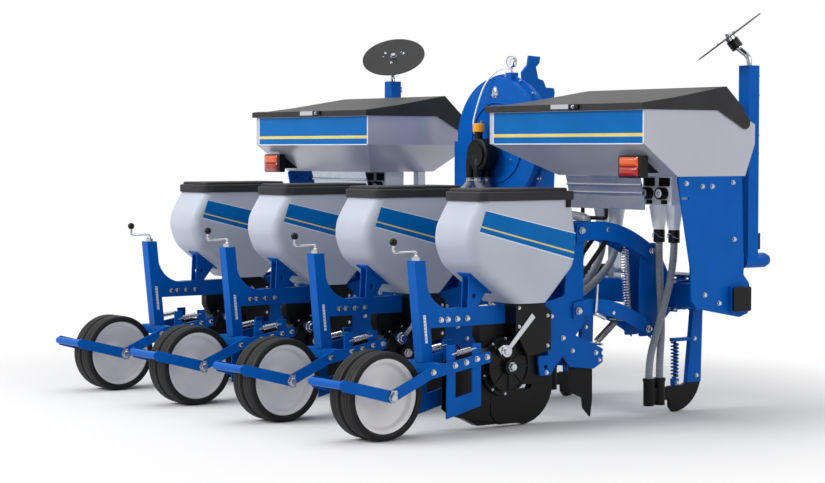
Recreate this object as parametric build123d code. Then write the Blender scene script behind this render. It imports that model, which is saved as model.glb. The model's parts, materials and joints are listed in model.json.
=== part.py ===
from build123d import *
import math
import os

# Four-row mounted precision seeder, built in millimetres.
# +X is the machine's right, +Y its direction of travel and +Z up.
# Heights start at the floor. Lengths along Y are given from the wheel line and
# moved at the end, so that the origin is at the bottom centre of the whole machine.

# Overall
ROW_COUNT = 4
ROW_SPACING = 750.0
FRAME_HALF = 1540.0
RUN_CLEARANCE = 0.05
SEAT_GAP = 0.3
FLOOR_CLEARANCE = 5.0

# Press wheels and the arms that carry them
WHEEL_RADIUS = 185.0
WHEEL_Y = -1005.0
TYRE_WIDTH = 156.0
TYRE_GROOVE_WIDTH = 22.0
TYRE_GROOVE_DEPTH = 12.0
TYRE_SHOULDER = 16.0
TYRE_WALL = 30.0
RIM_RADIUS = WHEEL_RADIUS - TYRE_WALL
RIM_WIDTH = 128.0
RIM_WALL = 5.0
RIM_DISH_RADIUS = 118.0
HUB_RADIUS = 28.0
HUB_LENGTH = 150.0
AXLE_RADIUS = 10.0
ARM_INNER = 104.0
ARM_THICKNESS = 10.0
ARM_HEIGHT = 48.0
ARM_FRONT_Y = -490.0
ARM_FRONT_Z = 322.0
ARM_KNEE_Y = -800.0
ARM_KNEE_Z = 272.0
ARM_REAR_Y = -1250.0
ARM_REAR_Z = 250.0
CROSSBAR_RADIUS = 17.0
ARM_BLOCK = 44.0

# Row frame: depth column, gusset, beam and body plates
COLUMN_SIDE = 56.0
TUBE_WALL = 5.0
COLUMN_TOP_Y = -799.0
COLUMN_TOP_Z = 734.0
COLUMN_BOTTOM_Y = -757.0
COLUMN_BOTTOM_Z = 308.0
BEAM_WIDTH = 50.0
BEAM_LOW = 450.0
BEAM_HIGH = 527.0
CRANK_SCREW = (11.0, 46.0)
CRANK_COLLAR = (19.0, 14.0)
CRANK_ELBOW = 36.0
CRANK_ROD_RADIUS = 6.0
CRANK_REACH = (-75.0, -62.0, 30.0)
CRANK_GRIP_RADIUS = 8.0
CRANK_GRIP = (-10.0, 34.0)
CRANK_KNOB_RISE = 46.0
CRANK_KNOB_RADIUS = 17.0
GUSSET_RISE = 112.0
GUSSET_RUN = 150.0
BODY_HALF = 52.0
BODY_PLATE = 10.0
BODY_REAR_Y = -138.0
BODY_FRONT_Y = 86.0
BODY_TOP_Z = 876.0
BODY_NOSE_Z = 430.0
BODY_FOOT_Z = 262.0
WEB_DEPTH = 40.0
SADDLE_SPAN = (-340.0, -260.0)
WEB_FRONT_Y = (26.0, 38.0)
WEB_FRONT_Z = (560.0, 780.0)
WEB_FOOT_Y = (-105.0, -65.0)
WEB_FOOT_HEIGHT = 24.0
# Outlines along and up: clod blade holder, lower lug and furrow closer
HOLDER_OUTLINE = ((-61.0, 403.0), (12.0, 391.0), (191.0, 318.0), (204.0, 253.0), (149.0, 225.0), (13.0, 241.0),
                  (-65.0, 333.0))
LUG_OUTLINE = ((-173.0, 300.0), (-173.0, 268.0), (-162.0, 213.0), (-101.0, 213.0), (-70.0, 262.0), (-70.0, 300.0))
LUG_EYE = (-130.0, 250.0)
LUG_EYE_RADIUS = 10.0
CLOSER_PLATE = 8.0
CLOSER_OUTLINE = ((-713.0, 382.0), (-670.0, 382.0), (-670.0, 158.0), (-580.0, 178.0), (-580.0, 382.0),
                  (-533.0, 382.0), (-533.0, 116.0), (-717.0, 72.0))
# Bracket between beam and hopper: its foot, head and flange along the row
BRACKET_FOOT = (-542.0, -500.0)
BRACKET_HEAD = (-533.0, -438.0)
BRACKET_FLANGE = (-545.0, -425.0)
BRACKET_FLANGE_HALF = 42.0
BRACKET_PLATE = 6.0
BRACKET_HOLE = (-508.0, 575.0)
BRACKET_HOLE_RADIUS = 12.0

# Parallel linkage between a row and the toolbar
LINK_UPPER_REAR = (58.0, 842.0)
LINK_LOWER_REAR = (40.0, 488.0)
LINK_RUN = 420.0
LINK_DROP = 101.0
LINK_ARCH = 44.0
LINK_DEPTH = 52.0
LINK_PLATE = 10.0
LINK_PIN_RADIUS = 14.0
LINK_HEAD = 9.0
LINK_SPRING_RADIUS = 19.0
SPRING_PIN_RADIUS = 9.0
SPRING_TOP = (375.0, 768.0)
SPRING_FOOT = (400.0, 432.0)

# Toolbar and hitch
BAR_SIDE = 110.0
BAR_WALL = 8.0
BAR_Y = 672.0
BAR_Z = 535.0
BAR_HALF = FRAME_HALF + 26.0
CAP_THICKNESS = 12.0
SIDE_PLATE = 10.0
# Outline of a side plate along and up, under the hopper's bottom
SIDE_OUTLINE = ((715.0, 640.0), (752.0, 600.0), (745.0, 468.0), (690.0, 452.0), (431.0, 500.0), (393.0, 540.0),
                (387.0, 690.0))
SIDE_TOP = (306.0, 700.0)
# Holes in a side plate: along, up, radius
SIDE_HOLES = ((355.0, 1050.0, 7.0), (640.0, 1052.0, 7.0), (452.0, 1036.0, 9.0), (512.0, 1036.0, 9.0),
              (650.0, 800.0, 8.0), (470.0, 560.0, 8.0), (560.0, 520.0, 8.0))
SIDE_SLOT = (352.0, 985.0, 46.0, 12.0)
# Clamps on the toolbar: strap thickness, bolt radius and gap over and under the bar
CLAMP_STRAP = 12.0
CLAMP_BOLT_RADIUS = 5.0
CLAMP_GAP = 2.0
CLAMP_LIP = 9.0
ROW_CLAMP_HALF = 25.0
LEG_CLAMP_HALF = 22.0
LEG_WIDTH = 40.0
LEG_DEPTH = 50.0
RAIL_Y = 330.0
RAIL_Z = 930.0
RAIL_HEIGHT = 60.0
RAIL_DEPTH = 8.0
RAIL_INSET = 238.0
RAIL_END = FRAME_HALF - RAIL_INSET
LOWER_PIN_RADIUS = 14.0
LOWER_PIN_SPAN = 825.0
LOWER_PIN_LENGTH = 95.0
LOWER_PIN_Y = 930.0
LOWER_PIN_Z = 545.0
TOP_PIN_RADIUS = 12.75
MAST_HEIGHT = 610.0
MAST_HALF = 55.0
MAST_PLATE = 14.0
MAST_PIN_Y = 840.0
HITCH_EYE = 44.0
HITCH_PLATE = 16.0

# Fertiliser hoppers
HOPPER_INNER = 490.0
HOPPER_WALL = 6.0
HOPPER_REAR = 107.0
HOPPER_FRONT = 780.0
HOPPER_TOP = 1370.0
HOPPER_CORNER = 1223.0
HOPPER_BOTTOM = 1080.0
HOPPER_OUTLET_REAR = 307.0
HOPPER_OUTLET_FRONT = 720.0
HOPPER_OUTLET_INNER = HOPPER_INNER + (FRAME_HALF - HOPPER_INNER) * 0.2476
HOPPER_DECK_REAR = 640.0
HOPPER_DECK_FRONT_Z = 1310.0
LID_BAND = 33.0
LID_OVERHANG = 22.0
LID_SEAT = 28.0
LID_WALL = 5.0
LID_END = 10.0
LID_END_SEAT = 18.0
# Lid's roof: place along and height over the hopper's rim, from the rear edge to the front edge
LID_ROOF = ((85.0, 28.0), (290.0, 55.0), (590.0, 105.0), (705.0, 5.0))
LID_HIP_LOW = 98.0
LID_HIP_HIGH = 159.0
LID_HINGE_Y = 712.0
LID_HINGE_Z = 1316.0
LID_PIN_RADIUS = 9.0
LID_EYE_RADIUS = 28.0
LID_ARM_REAR = 543.0

# Seed hoppers
SEED_HALF = 135.0
SEED_WALL = 5.0
SEED_TOP = 980.0
SEED_REAR_TOP = -548.0
SEED_FRONT_TOP = -50.0
SEED_LID_HEIGHT = 52.0
SEED_LID_OVERHANG = 10.0
SEED_LID_STEP = 38.0
SEED_LID_INSET = 18.0
SEED_LID_HOLLOW = 30.0
SEED_BOTTOM = 540.0
# Hopper's side outline along and up, rear slope first, between the top corners
SEED_REAR = ((-612.0, 880.0), (-622.0, 800.0))
SEED_SLOPE = ((-580.0, 700.0), (-360.0, SEED_BOTTOM))
SEED_FRONT = ((-190.0, SEED_BOTTOM), (-40.0, 690.0), (-22.0, 800.0))
SEED_BEND = 60.0
SEED_ROUND_REAR = 45.0
SEED_ROUND_FRONT = 25.0
SEED_HINGE_Y = -29.0
SEED_HINGE_Z = 989.0
SEED_PIN_RADIUS = 4.0
SEED_KNUCKLE_RADIUS = 9.0
SEED_KNUCKLE = (66.0, 92.0)
SEED_LUG = (54.0, 64.0)
SEED_LUG_RADIUS = 7.0
SEED_LUG_OUTLINE = ((-51.0, 974.0), (-46.0, 930.0), (-30.0, 945.0), (-22.0, 986.0), (-36.0, 986.0), (-38.0, 974.0))

# Metering unit, opener and clod blade
METER_Y = -353.0
METER_Z = 268.0
METER_RADIUS = 128.0
METER_HALF = 45.0
PORT_OFFSET = 100.0
PORT_Y = -240.0
PORT_Z = 330.0
NECK_INNER = 28.0
NECK_OUTER = 100.0
NECK_FRONT = -142.0
COVER_DEPTH = 22.0
COVER_STEP = 18.0
COVER_RING = 7.0
COVER_RIBS = 8
COVER_HUB = 34.0
# Outlines along and up: neck, seed shoe behind its curved knife, side shield and clod blade
NECK_OUTLINE = ((-340.0, SEED_BOTTOM), (-200.0, SEED_BOTTOM), (NECK_FRONT, 500.0), (NECK_FRONT, 330.0),
                (-274.0, 310.0), (-340.0, 420.0))
OPENER_HALF = 20.0
SHOE_KNIFE = ((-65.0, 180.0), (-104.0, 72.0), (-238.0, FLOOR_CLEARANCE))
SHOE_OUTLINE = ((-259.0, 16.0), (-485.0, 17.0), (-585.0, 65.0), (-585.0, 110.0), (-520.0, 139.0), (-330.0, 139.0),
                (-190.0, 160.0), (-150.0, 240.0), (-105.0, BODY_FOOT_Z), (-65.0, BODY_FOOT_Z))
SHIELD_OUTLINE = ((-418.0, 160.0), (-228.0, 160.0), (-206.0, 104.0), (-246.0, 14.0), (-374.0, 14.0), (-418.0, 62.0))
SHIELD_PLATE = 6.0
CLOD_THICKNESS = 12.0
CLOD_OUTLINE = ((-25.0, 392.0), (25.0, 392.0), (120.0, 330.0), (160.0, 262.0), (181.0, 235.0), (181.0, 80.0),
                (170.0, FLOOR_CLEARANCE), (130.0, 45.0), (123.0, 92.0), (59.0, 118.0), (45.0, 240.0), (-25.0, 330.0))
# Cross pieces of the clod blade: along and up
CLOD_CROSSES = (((-20.0, 20.0), (365.0, 390.0)), ((108.0, 138.0), (282.0, 306.0)))

# Fertiliser openers
FERT_OFFSET = 75.0
FERT_LEG_WIDTH = 26.0
# Outline of a leg on the toolbar's front face, along and up
FERT_LEG_OUTLINE = ((727.0, 590.0), (786.0, 590.0), (786.0, 470.0), (776.0, 130.0), (690.0, 130.0), (727.0, 480.0))
FERT_SHOE_TIP = (606.0, 0.0)
FERT_SHOE_HEAD = (776.0, 130.0)
FERT_SHOE_REAR = ((585.0, 24.0), (578.0, 120.0), (660.0, 120.0), (690.0, 130.0))
FERT_SHOE_WIDTH = 18.0
FERT_BOOT_RADIUS = 25.0
FERT_BOOT_LOW = 38.0
FERT_BOOT_WEB = (58.0, 118.0)
FERT_SPRING_Y = 622.0
FERT_SPRING_RADIUS = 20.0
FERT_SPRING_LOW = 152.0
FERT_SPRING_HIGH = 322.0
FERT_FORK_HALF = 14.0
FERT_ARM_HEIGHT = 16.0
FERT_HOSE_RADIUS = 18.0
FERT_DOSER_Y = 500.0
FERT_DOSER_INNER = HOPPER_OUTLET_INNER + LEG_WIDTH + 102.0
FERT_DOSER_OUTER = FRAME_HALF - (FRAME_HALF - HOPPER_OUTLET_INNER) * 0.342
FERT_DOSER_X = (-FERT_DOSER_OUTER, -FERT_DOSER_INNER, FERT_DOSER_INNER, FERT_DOSER_OUTER)
FERT_DOSER_LOW = 950.0
FERT_FUNNEL_LOW = 838.0
FERT_FUNNEL_PITCH = 96.0
FERT_COLLAR_LOW = 780.0
DOSER_HALF = 92.0
HOSE_DROP = 120.0
HOSE_FOOT_Z = 162.0
HOSE_BEND_Z = 390.0
HOSE_BOOT_RUN = 80.0
# Fertiliser hoses by collar, inner and outer: foot along, then bend along and outwards from the shoe
HOSE_FEET = ((527.0, 520.0, 22.0), (461.0, 470.0, 46.0))

# Fan and vacuum
FAN_Z = 1240.0
FAN_RADIUS = 316.0
FAN_DEPTH = 96.0
FAN_REAR_Y = 545.0
FAN_FLANGE_RADIUS = 334.0
FAN_FLANGE = 8.0
FAN_RIDGE = (188.0, 208.0)
FAN_RIDGE_DEPTH = 8.0
FAN_OUTLET = (-342.0, -166.0)
FAN_OUTLET_DROP = 340.0
FAN_PAD = (40.0, 84.0)
FAN_PAD_RISE = 24.0
GAUGE_X = 62.0
GAUGE_RISE = 54.0
GAUGE_Z = FAN_Z + FAN_RADIUS + FAN_PAD_RISE + GAUGE_RISE
GAUGE_RADIUS = 30.0
GAUGE_HALF = 14.0
GAUGE_STEM = 7.0
BELT_CASE_RADIUS = 120.0
PTO_Z = 930.0
PTO_RADIUS = 17.4
PTO_LENGTH = 100.0
PTO_JOURNAL_RADIUS = 20.0
PTO_SEAT = 10.0
PTO_NOSE = 60.0
PTO_NOSE_RADIUS = 36.0
FAN_SHEET = 4.0
MANIFOLD = (-60.0, 478.0)
DRUM_X = -30.0
DRUM_Z = 1170.0
DRUM_RADIUS = 83.0
DRUM_DEPTH = 76.0
DRUM_BOSS_RADIUS = 58.0
DRUM_BOSS_DEPTH = 8.0
INLET_RADIUS = 44.0
OUTLET_FOOT = 1060.0
CAP_LOW = 1284.0
CAP_HEIGHT = 44.0
CAP_RADIUS = 29.0
NECK_RADIUS = 21.0
VACUUM_HOSE_RADIUS = 21.0
HOSE_APPROACH = 80.0
# Vacuum hose on its way down: heights of the crossing, then place along and height at the row
HOSE_CROSSING = (905.0, 896.0, 866.0)
HOSE_TURN = (90.0, 40.0, 80.0)
HOSE_ROW = ((120.0, 480.0), (-40.0, 330.0))
SHAFT_FLATS = 24.0
SHAFT_Y = 702.0
SHAFT_Z = 622.0
SHAFT_HALF = FRAME_HALF - 40.0
BEARING_INSET = 220.0
BEARING_OUTER = FRAME_HALF - BEARING_INSET
BEARING_HALF = 14.0
BEARING_DEPTH = 24.0
BEARING_RISE = 26.0
BEARING_INNER = 600.0
BEARING_X = (-BEARING_OUTER, -BEARING_INNER, BEARING_INNER, BEARING_OUTER)
# Each manifold outlet: place across, place along, and where its hose turns down
MANIFOLD_OUTLETS = ((-30.0, -26.0, 400.0), (-30.0, 26.0, 420.0), (30.0, 26.0, 420.0), (30.0, -26.0, 330.0))

# Tail lamps
LAMP_X = FRAME_HALF - 115.0
LAMP_HALF = 75.0
LAMP_Y = 168.0
LAMP_DEPTH = 50.0
LAMP_LOW = 1095.0
LAMP_HIGH = 1160.0

# Row markers
MARKER_X = FRAME_HALF - 164.0
MARKER_Y = 910.0
MARKER_SIDE = 66.0
MARKER_PIVOT_Z = 690.0
MARKER_TOP = 1580.0
MARKER_PIN_RADIUS = 16.0
MARKER_PIN_FRONT = 1030.0
MARKER_SLEEVE_RADIUS = 34.0
DISC_RADIUS = 175.0
SPINDLE_RADIUS = 12.0
DISC_INWARD = 78.0
DISC_Y = 858.0
DISC_Z = 1715.0
DISC_NORMAL = (-0.39, -0.46, 0.795)
DISC_THICKNESS = 5.0
SHANK_RADIUS = 13.0
# Lugs on the marker's front face: low and high, half width, depth
MARKER_LUGS = ((740.0, 815.0, 17.0, 30.0), (1166.0, 1196.0, 8.0, 26.0), (1249.0, 1279.0, 8.0, 26.0),
               (1432.0, 1462.0, 8.0, 26.0), (1519.0, 1549.0, 8.0, 26.0))

ROWS = [(index - (ROW_COUNT - 1) / 2) * ROW_SPACING for index in range(ROW_COUNT)]
SIDES = {"left": -1, "right": 1}


def outward(x):
    """Sign of the side of the machine that a place lies on."""
    return 1 if x > 0 else -1


FERT_SHOES = [x + outward(x) * FERT_OFFSET for x in ROWS]
REAR_END = ARM_REAR_Y - CROSSBAR_RADIUS
SHIFT_Y = -(REAR_END + MARKER_PIN_FRONT) / 2


def slab(points, low, high, fillets=0.0):
    """Plate of a Y-Z outline between two X planes, corners rounded if asked."""
    outline = make_face(Polyline(*points, close=True))
    if fillets:
        outline = fillet(outline.vertices(), fillets)
    return extrude(Plane.YZ.offset(low) * outline, high - low)


def block(x_span, y_span, z_span):
    """Box between low and high values on each axis."""
    size = [high - low for low, high in (x_span, y_span, z_span)]
    centre = [(high + low) / 2 for low, high in (x_span, y_span, z_span)]
    return Pos(*centre) * Box(*size)


def rod_x(radius, low, high, y, z):
    """Round bar along X."""
    return Pos(low, y, z) * (Rot(0, 90, 0) * Cylinder(radius, high - low, align=(Align.CENTER, Align.CENTER, Align.MIN)))


def rod_y(radius, low, high, x, z):
    """Round bar along Y."""
    return Pos(x, low, z) * (Rot(-90, 0, 0) * Cylinder(radius, high - low, align=(Align.CENTER, Align.CENTER, Align.MIN)))


def rod_between(radius, start, end):
    """Round bar between two points."""
    start, end = Vector(*start), Vector(*end)
    plane = Plane(origin=start, z_dir=end - start)
    return plane * Cylinder(radius, (end - start).length, align=(Align.CENTER, Align.CENTER, Align.MIN))


def hose(radius, points):
    """Hose along straight runs joined by arcs as large as the runs allow."""
    route = [Vector(*point) for point in points]
    radii = []
    for before, corner, after in zip(route, route[1:], route[2:]):
        turn = math.radians((corner - before).get_angle(after - corner))
        shorter = min((corner - before).length, (after - corner).length)
        radii.append(0.45 * shorter / math.tan(turn / 2))
    path = FilletPolyline(*route, radius=radii)
    return sweep(Plane(origin=path @ 0, z_dir=path % 0) * Circle(radius), path=path)


def mirror_x(shape):
    """Same shape on the machine's other side."""
    return mirror(shape, about=Plane.YZ)


def solids(*shapes):
    """Pieces of one node, kept as separate solids."""
    return [solid for shape in shapes for solid in shape.solids()]


def one(shape):
    """Fused shape as a single solid."""
    found = shape.solids()
    assert len(found) == 1, f"{len(found)} solids where one was meant"
    return found[0]


PARTS = {}


def keep(node, *shapes):
    """Adds a node of one or more solids, moved to the machine's own frame."""
    moved = [Pos(0, SHIFT_Y, 0) * solid for solid in solids(*shapes)]
    PARTS[node] = moved[0] if len(moved) == 1 else Compound(children=moved)


# Press wheels
def tyre(x):
    """Tyre with two ribs and a groove between them."""
    half, groove = TYRE_WIDTH / 2, TYRE_GROOVE_WIDTH / 2
    profile = Polyline(
        (x - half, RIM_RADIUS + RUN_CLEARANCE),
        (x + half, RIM_RADIUS + RUN_CLEARANCE),
        (x + half, WHEEL_RADIUS - TYRE_SHOULDER),
        (x + half - TYRE_SHOULDER, WHEEL_RADIUS),
        (x + groove, WHEEL_RADIUS),
        (x + groove / 2, WHEEL_RADIUS - TYRE_GROOVE_DEPTH),
        (x - groove / 2, WHEEL_RADIUS - TYRE_GROOVE_DEPTH),
        (x - groove, WHEEL_RADIUS),
        (x - half + TYRE_SHOULDER, WHEEL_RADIUS),
        (x - half, WHEEL_RADIUS - TYRE_SHOULDER),
        close=True,
    )
    return Pos(0, WHEEL_Y, WHEEL_RADIUS) * revolve(make_face(profile), Axis.X)


def rim(x):
    """Dished pressed rim with its hub tube."""
    half = RIM_WIDTH / 2
    bore = AXLE_RADIUS + RUN_CLEARANCE
    hub = HUB_LENGTH / 2
    profile = Polyline(
        (x - hub, bore),
        (x + hub, bore),
        (x + hub, HUB_RADIUS),
        (x + hub * 0.5, HUB_RADIUS + 8),
        (x + hub * 0.35, RIM_DISH_RADIUS * 0.7),
        (x + half * 0.55, RIM_DISH_RADIUS),
        (x + half * 0.55, RIM_RADIUS - RIM_WALL),
        (x + half, RIM_RADIUS - RIM_WALL),
        (x + half, RIM_RADIUS),
        (x - half, RIM_RADIUS),
        (x - half, RIM_RADIUS - RIM_WALL),
        (x - half * 0.55, RIM_RADIUS - RIM_WALL),
        (x - half * 0.55, RIM_DISH_RADIUS),
        (x - hub * 0.35, RIM_DISH_RADIUS * 0.7),
        (x - hub * 0.5, HUB_RADIUS + 8),
        (x - hub, HUB_RADIUS),
        close=True,
    )
    return Pos(0, WHEEL_Y, WHEEL_RADIUS) * revolve(make_face(profile), Axis.X)


for number, row_x in enumerate(ROWS, start=1):
    keep(f"tyre_{number}", tyre(row_x))
    keep(f"rim_{number}", rim(row_x))


def wheel_arm(x):
    """Pair of V-shaped arms with the axle, the rear bar and the block under the column."""
    half = ARM_HEIGHT / 2
    outline = [
        (ARM_FRONT_Y, ARM_FRONT_Z + half),
        (ARM_KNEE_Y, ARM_KNEE_Z + half),
        (WHEEL_Y, WHEEL_RADIUS + half + 4),
        (ARM_REAR_Y, ARM_REAR_Z + half),
        (ARM_REAR_Y, ARM_REAR_Z - half),
        (WHEEL_Y, WHEEL_RADIUS - half),
        (ARM_KNEE_Y, ARM_KNEE_Z - half),
        (ARM_FRONT_Y, ARM_FRONT_Z - half),
    ]
    plates = slab(outline, x + ARM_INNER, x + ARM_INNER + ARM_THICKNESS, 6)
    plates += slab(outline, x - ARM_INNER - ARM_THICKNESS, x - ARM_INNER, 6)
    reach = ARM_INNER + ARM_THICKNESS
    bars = rod_x(AXLE_RADIUS, x - reach, x + reach, WHEEL_Y, WHEEL_RADIUS)
    bars += rod_x(CROSSBAR_RADIUS, x - reach, x + reach, ARM_REAR_Y, ARM_REAR_Z)
    front = COLUMN_BOTTOM_Y
    bars += block((x - reach, x + reach), (front - ARM_BLOCK / 2, front + ARM_BLOCK / 2),
                  (COLUMN_BOTTOM_Z - ARM_BLOCK, COLUMN_BOTTOM_Z))
    return one(plates + bars)


keep("wheel_arms", *[wheel_arm(x) for x in ROWS])


# Row frames
def column_y(z):
    """Place of the leaning column's centre line at a height."""
    share = (z - COLUMN_BOTTOM_Z) / (COLUMN_TOP_Z - COLUMN_BOTTOM_Z)
    return COLUMN_BOTTOM_Y + share * (COLUMN_TOP_Y - COLUMN_BOTTOM_Y)


def column_prism(half, low, high, x):
    """Leaning square prism on the column's centre line between two heights."""
    return slab(
        [
            (column_y(high) - half, high),
            (column_y(high) + half, high),
            (column_y(low) + half, low),
            (column_y(low) - half, low),
        ],
        x - half, x + half,
    )


def seed_slope(y, drop):
    """Point at a place along the hopper's sloping bottom, moved away from it by a drop."""
    high, low = Vector(*SEED_SLOPE[0]), Vector(*SEED_SLOPE[1])
    along = (low - high).normalized()
    point = high + along * ((y - high.X) / along.X) + Vector(along.Y, -along.X) * drop
    return (point.X, point.Y)


def hopper_bracket(x):
    """Pair of pierced plates on the beam with a flange under the hopper's sloping bottom."""
    outer, sheet = BEAM_WIDTH / 2, BRACKET_PLATE
    outline = [(y, BEAM_HIGH - sheet) for y in BRACKET_FOOT]
    outline += [seed_slope(y, sheet / 2) for y in reversed(BRACKET_HEAD)]
    plates = slab(outline, x + outer - sheet, x + outer) + slab(outline, x - outer, x - outer + sheet)
    plates -= rod_x(BRACKET_HOLE_RADIUS, x - outer - 1, x + outer + 1, *BRACKET_HOLE)
    rear, front = BRACKET_FLANGE
    flange = [seed_slope(rear, 0), seed_slope(front, 0), seed_slope(front, sheet), seed_slope(rear, sheet)]
    return plates + slab(flange, x - BRACKET_FLANGE_HALF, x + BRACKET_FLANGE_HALF)


def row_frame(x):
    """Welded depth column, gusset, beam and body plates of one row."""
    half = COLUMN_SIDE / 2
    column = column_prism(half, COLUMN_BOTTOM_Z, COLUMN_TOP_Z, x)
    gusset_top = BEAM_HIGH + GUSSET_RISE
    gusset_end = column_y(BEAM_HIGH) + half + GUSSET_RUN
    head = (column_y(gusset_top) + half, gusset_top)
    bend = (column_y(BEAM_HIGH) + half + GUSSET_RUN * 0.27, BEAM_HIGH + GUSSET_RISE * 0.24)
    rim = Polyline((gusset_end, BEAM_HIGH), (gusset_end, BEAM_LOW), (column_y(BEAM_LOW), BEAM_LOW),
                   (column_y(gusset_top), gusset_top), head)
    outline = make_face(Wire([ThreePointArc(head, bend, (gusset_end, BEAM_HIGH)), *rim.edges()]))
    gusset = extrude(Plane.YZ.offset(x - BEAM_WIDTH / 2) * outline, BEAM_WIDTH)
    beam_front = BODY_REAR_Y + WEB_DEPTH
    beam = block((x - BEAM_WIDTH / 2, x + BEAM_WIDTH / 2), (gusset_end, beam_front), (BEAM_LOW, BEAM_HIGH))
    saddle = block((x - BEAM_WIDTH / 2, x + BEAM_WIDTH / 2), SADDLE_SPAN, (BEAM_HIGH, SEED_BOTTOM))
    body_outline = [
        (BODY_REAR_Y, BEAM_LOW - 30),
        (BODY_REAR_Y, BEAM_HIGH + 4),
        (-25, BEAM_HIGH + 30),
        (10, BODY_TOP_Z),
        (BODY_FRONT_Y, BODY_TOP_Z),
        (BODY_FRONT_Y, BODY_NOSE_Z),
        (20, BODY_FOOT_Z + 90),
        (-60, BODY_FOOT_Z),
        (-110, BODY_FOOT_Z),
    ]
    inner = BODY_HALF - BODY_PLATE / 2
    plates = []
    for low in (x + BODY_HALF - BODY_PLATE, x - BODY_HALF):
        plate = slab(body_outline, low, low + BODY_PLATE, 8) + slab(HOLDER_OUTLINE, low, low + BODY_PLATE, 10)
        plate += slab(LUG_OUTLINE, low, low + BODY_PLATE, 6)
        plates.append(plate - rod_x(LUG_EYE_RADIUS, low - 1, low + BODY_PLATE + 1, *LUG_EYE))
    web = block((x - inner, x + inner), (BODY_REAR_Y + WEB_DEPTH / 2, beam_front), (BEAM_LOW - 20, BEAM_HIGH))
    web += block((x - inner, x + inner), WEB_FRONT_Y, WEB_FRONT_Z)
    web += block((x - inner, x + inner), WEB_FOOT_Y, (BODY_FOOT_Z, BODY_FOOT_Z + WEB_FOOT_HEIGHT))
    frame = column + gusset + beam + saddle + plates[0] + plates[1] + web + hopper_bracket(x)
    wall = TUBE_WALL
    bore = BEAM_WIDTH / 2 - wall
    frame -= block((x - bore, x + bore), (gusset_end + wall, beam_front + 1), (BEAM_LOW + wall, BEAM_HIGH - wall))
    frame -= column_prism(half - wall, COLUMN_BOTTOM_Z - 1, COLUMN_TOP_Z - wall, x)
    return one(frame)


keep("row_frames", *[row_frame(x) for x in ROWS])


def crank(x):
    """Depth crank: screw, bent arm and ball knob on top of the column."""
    foot = (x, COLUMN_TOP_Y, COLUMN_TOP_Z)
    upright = (Align.CENTER, Align.CENTER, Align.MIN)
    screw = Pos(*foot) * Cylinder(*CRANK_SCREW, align=upright)
    collar = Pos(*foot) * Cylinder(*CRANK_COLLAR, align=upright)
    elbow = (x, COLUMN_TOP_Y, COLUMN_TOP_Z + CRANK_ELBOW)
    end = tuple(place + reach for place, reach in zip(foot, CRANK_REACH))
    arm = rod_between(CRANK_ROD_RADIUS, elbow, end)
    low, high = [(end[0], end[1], end[2] + rise) for rise in CRANK_GRIP]
    handle = rod_between(CRANK_GRIP_RADIUS, low, high)
    knob = Pos(end[0], end[1], end[2] + CRANK_KNOB_RISE) * Sphere(CRANK_KNOB_RADIUS)
    return one(screw + collar + arm + handle + knob)


keep("depth_cranks", *[crank(x) for x in ROWS])


# Parallel linkage
def link_outline(rear):
    """Arched outline of one arm of the linkage, round at both pivots."""
    front = (rear[0] + LINK_RUN, rear[1] - LINK_DROP)
    middle = ((rear[0] + front[0]) / 2, (rear[1] + front[1]) / 2 + LINK_ARCH)
    half = LINK_DEPTH / 2
    top = ThreePointArc((rear[0], rear[1] + half), (middle[0], middle[1] + half), (front[0], front[1] + half))
    low = ThreePointArc((front[0], front[1] - half), (middle[0], middle[1] - half), (rear[0], rear[1] - half))
    front_end = ThreePointArc((front[0], front[1] + half), (front[0] + half, front[1]), (front[0], front[1] - half))
    rear_end = ThreePointArc((rear[0], rear[1] - half), (rear[0] - half, rear[1]), (rear[0], rear[1] + half))
    return make_face(Wire([top, front_end, low, rear_end]))


def link_pair(x, rear, pin):
    """Both plates of an arm, their pivot heads and the cross pin that holds the spring."""
    outline = link_outline(rear)
    outer = BODY_HALF + LINK_PLATE
    pair = extrude(Plane.YZ.offset(x + BODY_HALF) * outline, LINK_PLATE)
    pair += extrude(Plane.YZ.offset(x - outer) * outline, LINK_PLATE)
    for pivot in (rear, (rear[0] + LINK_RUN, rear[1] - LINK_DROP)):
        pair += rod_x(LINK_PIN_RADIUS, x + outer, x + outer + LINK_HEAD, *pivot)
        pair += rod_x(LINK_PIN_RADIUS, x - outer - LINK_HEAD, x - outer, *pivot)
    pair += rod_x(SPRING_PIN_RADIUS, x - outer, x + outer, *pin)
    return one(pair)


keep("parallel_arms", *[link_pair(x, rear, pin) for x in ROWS
                        for rear, pin in ((LINK_UPPER_REAR, SPRING_TOP), (LINK_LOWER_REAR, SPRING_FOOT))])


def bar_clamp(x, half):
    """Straps behind and in front of the toolbar, held by bolts over and under it."""
    side = BAR_SIDE / 2
    rear, front = BAR_Y - side, BAR_Y + side
    bolt_z = side + CLAMP_GAP + CLAMP_BOLT_RADIUS
    reach = bolt_z + CLAMP_BOLT_RADIUS + CLAMP_LIP
    clamp = block((x - half, x + half), (rear - CLAMP_STRAP, rear), (BAR_Z - reach, BAR_Z + reach))
    clamp += block((x - half, x + half), (front, front + CLAMP_STRAP), (BAR_Z - reach, BAR_Z + reach))
    for place in (-1, 1):
        for z in (BAR_Z - bolt_z, BAR_Z + bolt_z):
            bolt_x = x + place * (half - CLAMP_BOLT_RADIUS)
            clamp += rod_y(CLAMP_BOLT_RADIUS, rear - CLAMP_STRAP / 2, front + CLAMP_STRAP / 2, bolt_x, z)
    return clamp


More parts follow.
